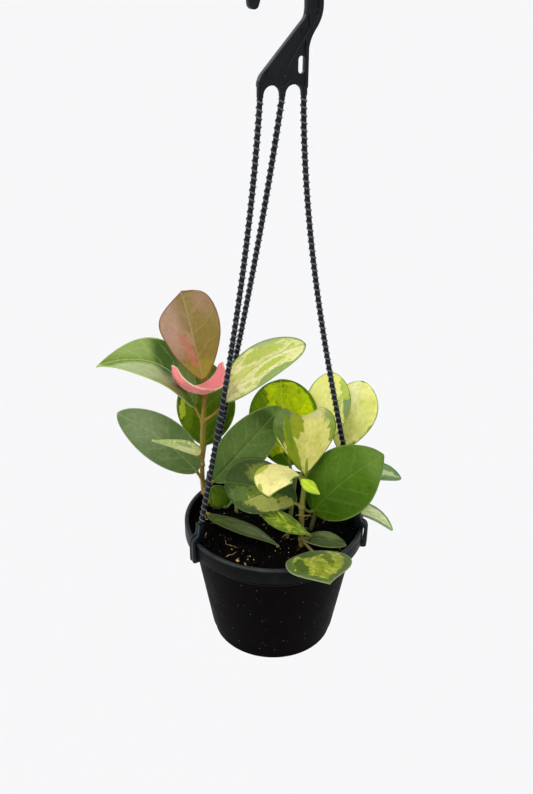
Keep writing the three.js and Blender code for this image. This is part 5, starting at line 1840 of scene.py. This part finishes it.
    HoyaLeaf(
        "leaf_back_far", 4, 2, (-21, 26, 4), (-10, 52, 2), (0, 0, 1), 24,
        HoyaSkin("#47702c", "#3d6428", "#57803c", 1.0, "#7f9a62", vein="#7f9f5a"), arch=6, cup=1.5, tone=Tone.GREEN,
        seed=26.1,
    ),
)


# ------------------------------------------------------------------------------------ studio
@dataclass
class Studio:
    """A pale seamless floor, soft light and the camera."""

    floor_level: float = -1.9  # metres below the seat, out of sight under the object
    floor_size: float = 200.0
    sky: float = 0.3
    sweep: float = 0.91
    sky_tint: tuple[float, float, float, float] = (0.985, 0.985, 1.0, 1.0)
    key: float = 2.13
    fill: float = 1.05
    lens: float = 40.4
    sensor: float = 36.0
    camera_place: Point = (0.0, -0.478, 0.012)
    pitch: float = -26.8
    yaw: float = -0.7
    roll: float = 0.7
    paper: PaperWhite = PaperWhite()

    def build_floor(self) -> None:
        """Lay the floor, wide enough to fill every view."""
        start_fresh()
        bpy.ops.mesh.primitive_plane_add(size=self.floor_size, location=(0, 0, self.floor_level))
        floor = added("studio_floor")
        apply_place(floor)
        dress(floor, self.paper.material())

    def build_light(self) -> None:
        """Set soft daylight: a pale sky all round, a large soft box and a fill."""
        world = bpy.data.worlds.new("soft_daylight")
        bpy.context.scene.world = world
        world.use_nodes = True
        tree = world.node_tree
        tree.nodes.clear()
        # the paper sweeps up behind the floor: pale at the level of the eye, dimmer above
        way = add_node(tree, "TexCoord").outputs["Generated"]
        rise = add_node(tree, "SeparateXYZ", {0: way}).outputs[2]
        level = add_node(tree, "MapRange", {0: rise, 1: 0.22, 2: 0.6, 3: self.sweep, 4: self.sky})
        add_node(tree, "OutputWorld", {0: add_node(tree, "Background", {0: self.sky_tint, 1: level})})
        for name, way, spread, strength in (
            ("key_from_upper_left", (-0.42, -0.5, 0.76), 50.0, self.key),
            ("fill_from_above", (0.3, 0.25, 0.92), 90.0, self.fill),
        ):
            data = bpy.data.lights.new(name, "SUN")
            data.angle = math.radians(spread)
            data.energy = strength
            lamp = bpy.data.objects.new(name, data)
            lamp.location = Vector(way) * 2
            lamp.rotation_euler = Vector(way).to_track_quat("Z", "Y").to_euler()
            bpy.context.scene.collection.objects.link(lamp)

    def build_camera(self) -> None:
        """Set the camera at the photograph's viewing angle."""
        pitch, yaw, roll = (math.radians(angle) for angle in (self.pitch, self.yaw, self.roll))
        ahead = Vector((math.sin(yaw) * math.cos(pitch), math.cos(yaw) * math.cos(pitch), math.sin(pitch)))
        right = ahead.cross(Vector((0, 0, 1))).normalized()
        above = right.cross(ahead)
        tilted_right = right * math.cos(roll) + above * math.sin(roll)
        tilted_above = above * math.cos(roll) - right * math.sin(roll)
        data = bpy.data.cameras.new("camera")
        data.lens = self.lens
        data.sensor_width = self.sensor
        data.clip_start = 0.01
        data.clip_end = 300
        camera = bpy.data.objects.new("camera", data)
        turned = Matrix((tilted_right, tilted_above, -ahead)).transposed()
        camera.matrix_world = Matrix.Translation(self.camera_place) @ turned.to_4x4()
        bpy.context.scene.collection.objects.link(camera)
        bpy.context.scene.camera = camera

    def build(self) -> None:
        """Build camera, floor and light."""
        self.build_camera()
        self.build_floor()
        self.build_light()
        bpy.context.scene.view_settings.view_transform = "Standard"


def main() -> None:
    """Build the object in order."""
    logging.basicConfig(level=logging.INFO, format="%(name)s: %(message)s")
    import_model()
    Studio().build()
    GrowingPot().build()
    PottingBed().build()
    Hanger().build()
    for index, vine in enumerate(VINES):
        vine.build([leaf for leaf in LEAVES if leaf.vine == index])
    for leaf in LEAVES:
        leaf.build()
    start_fresh()


if __name__ == "__main__":
    main()
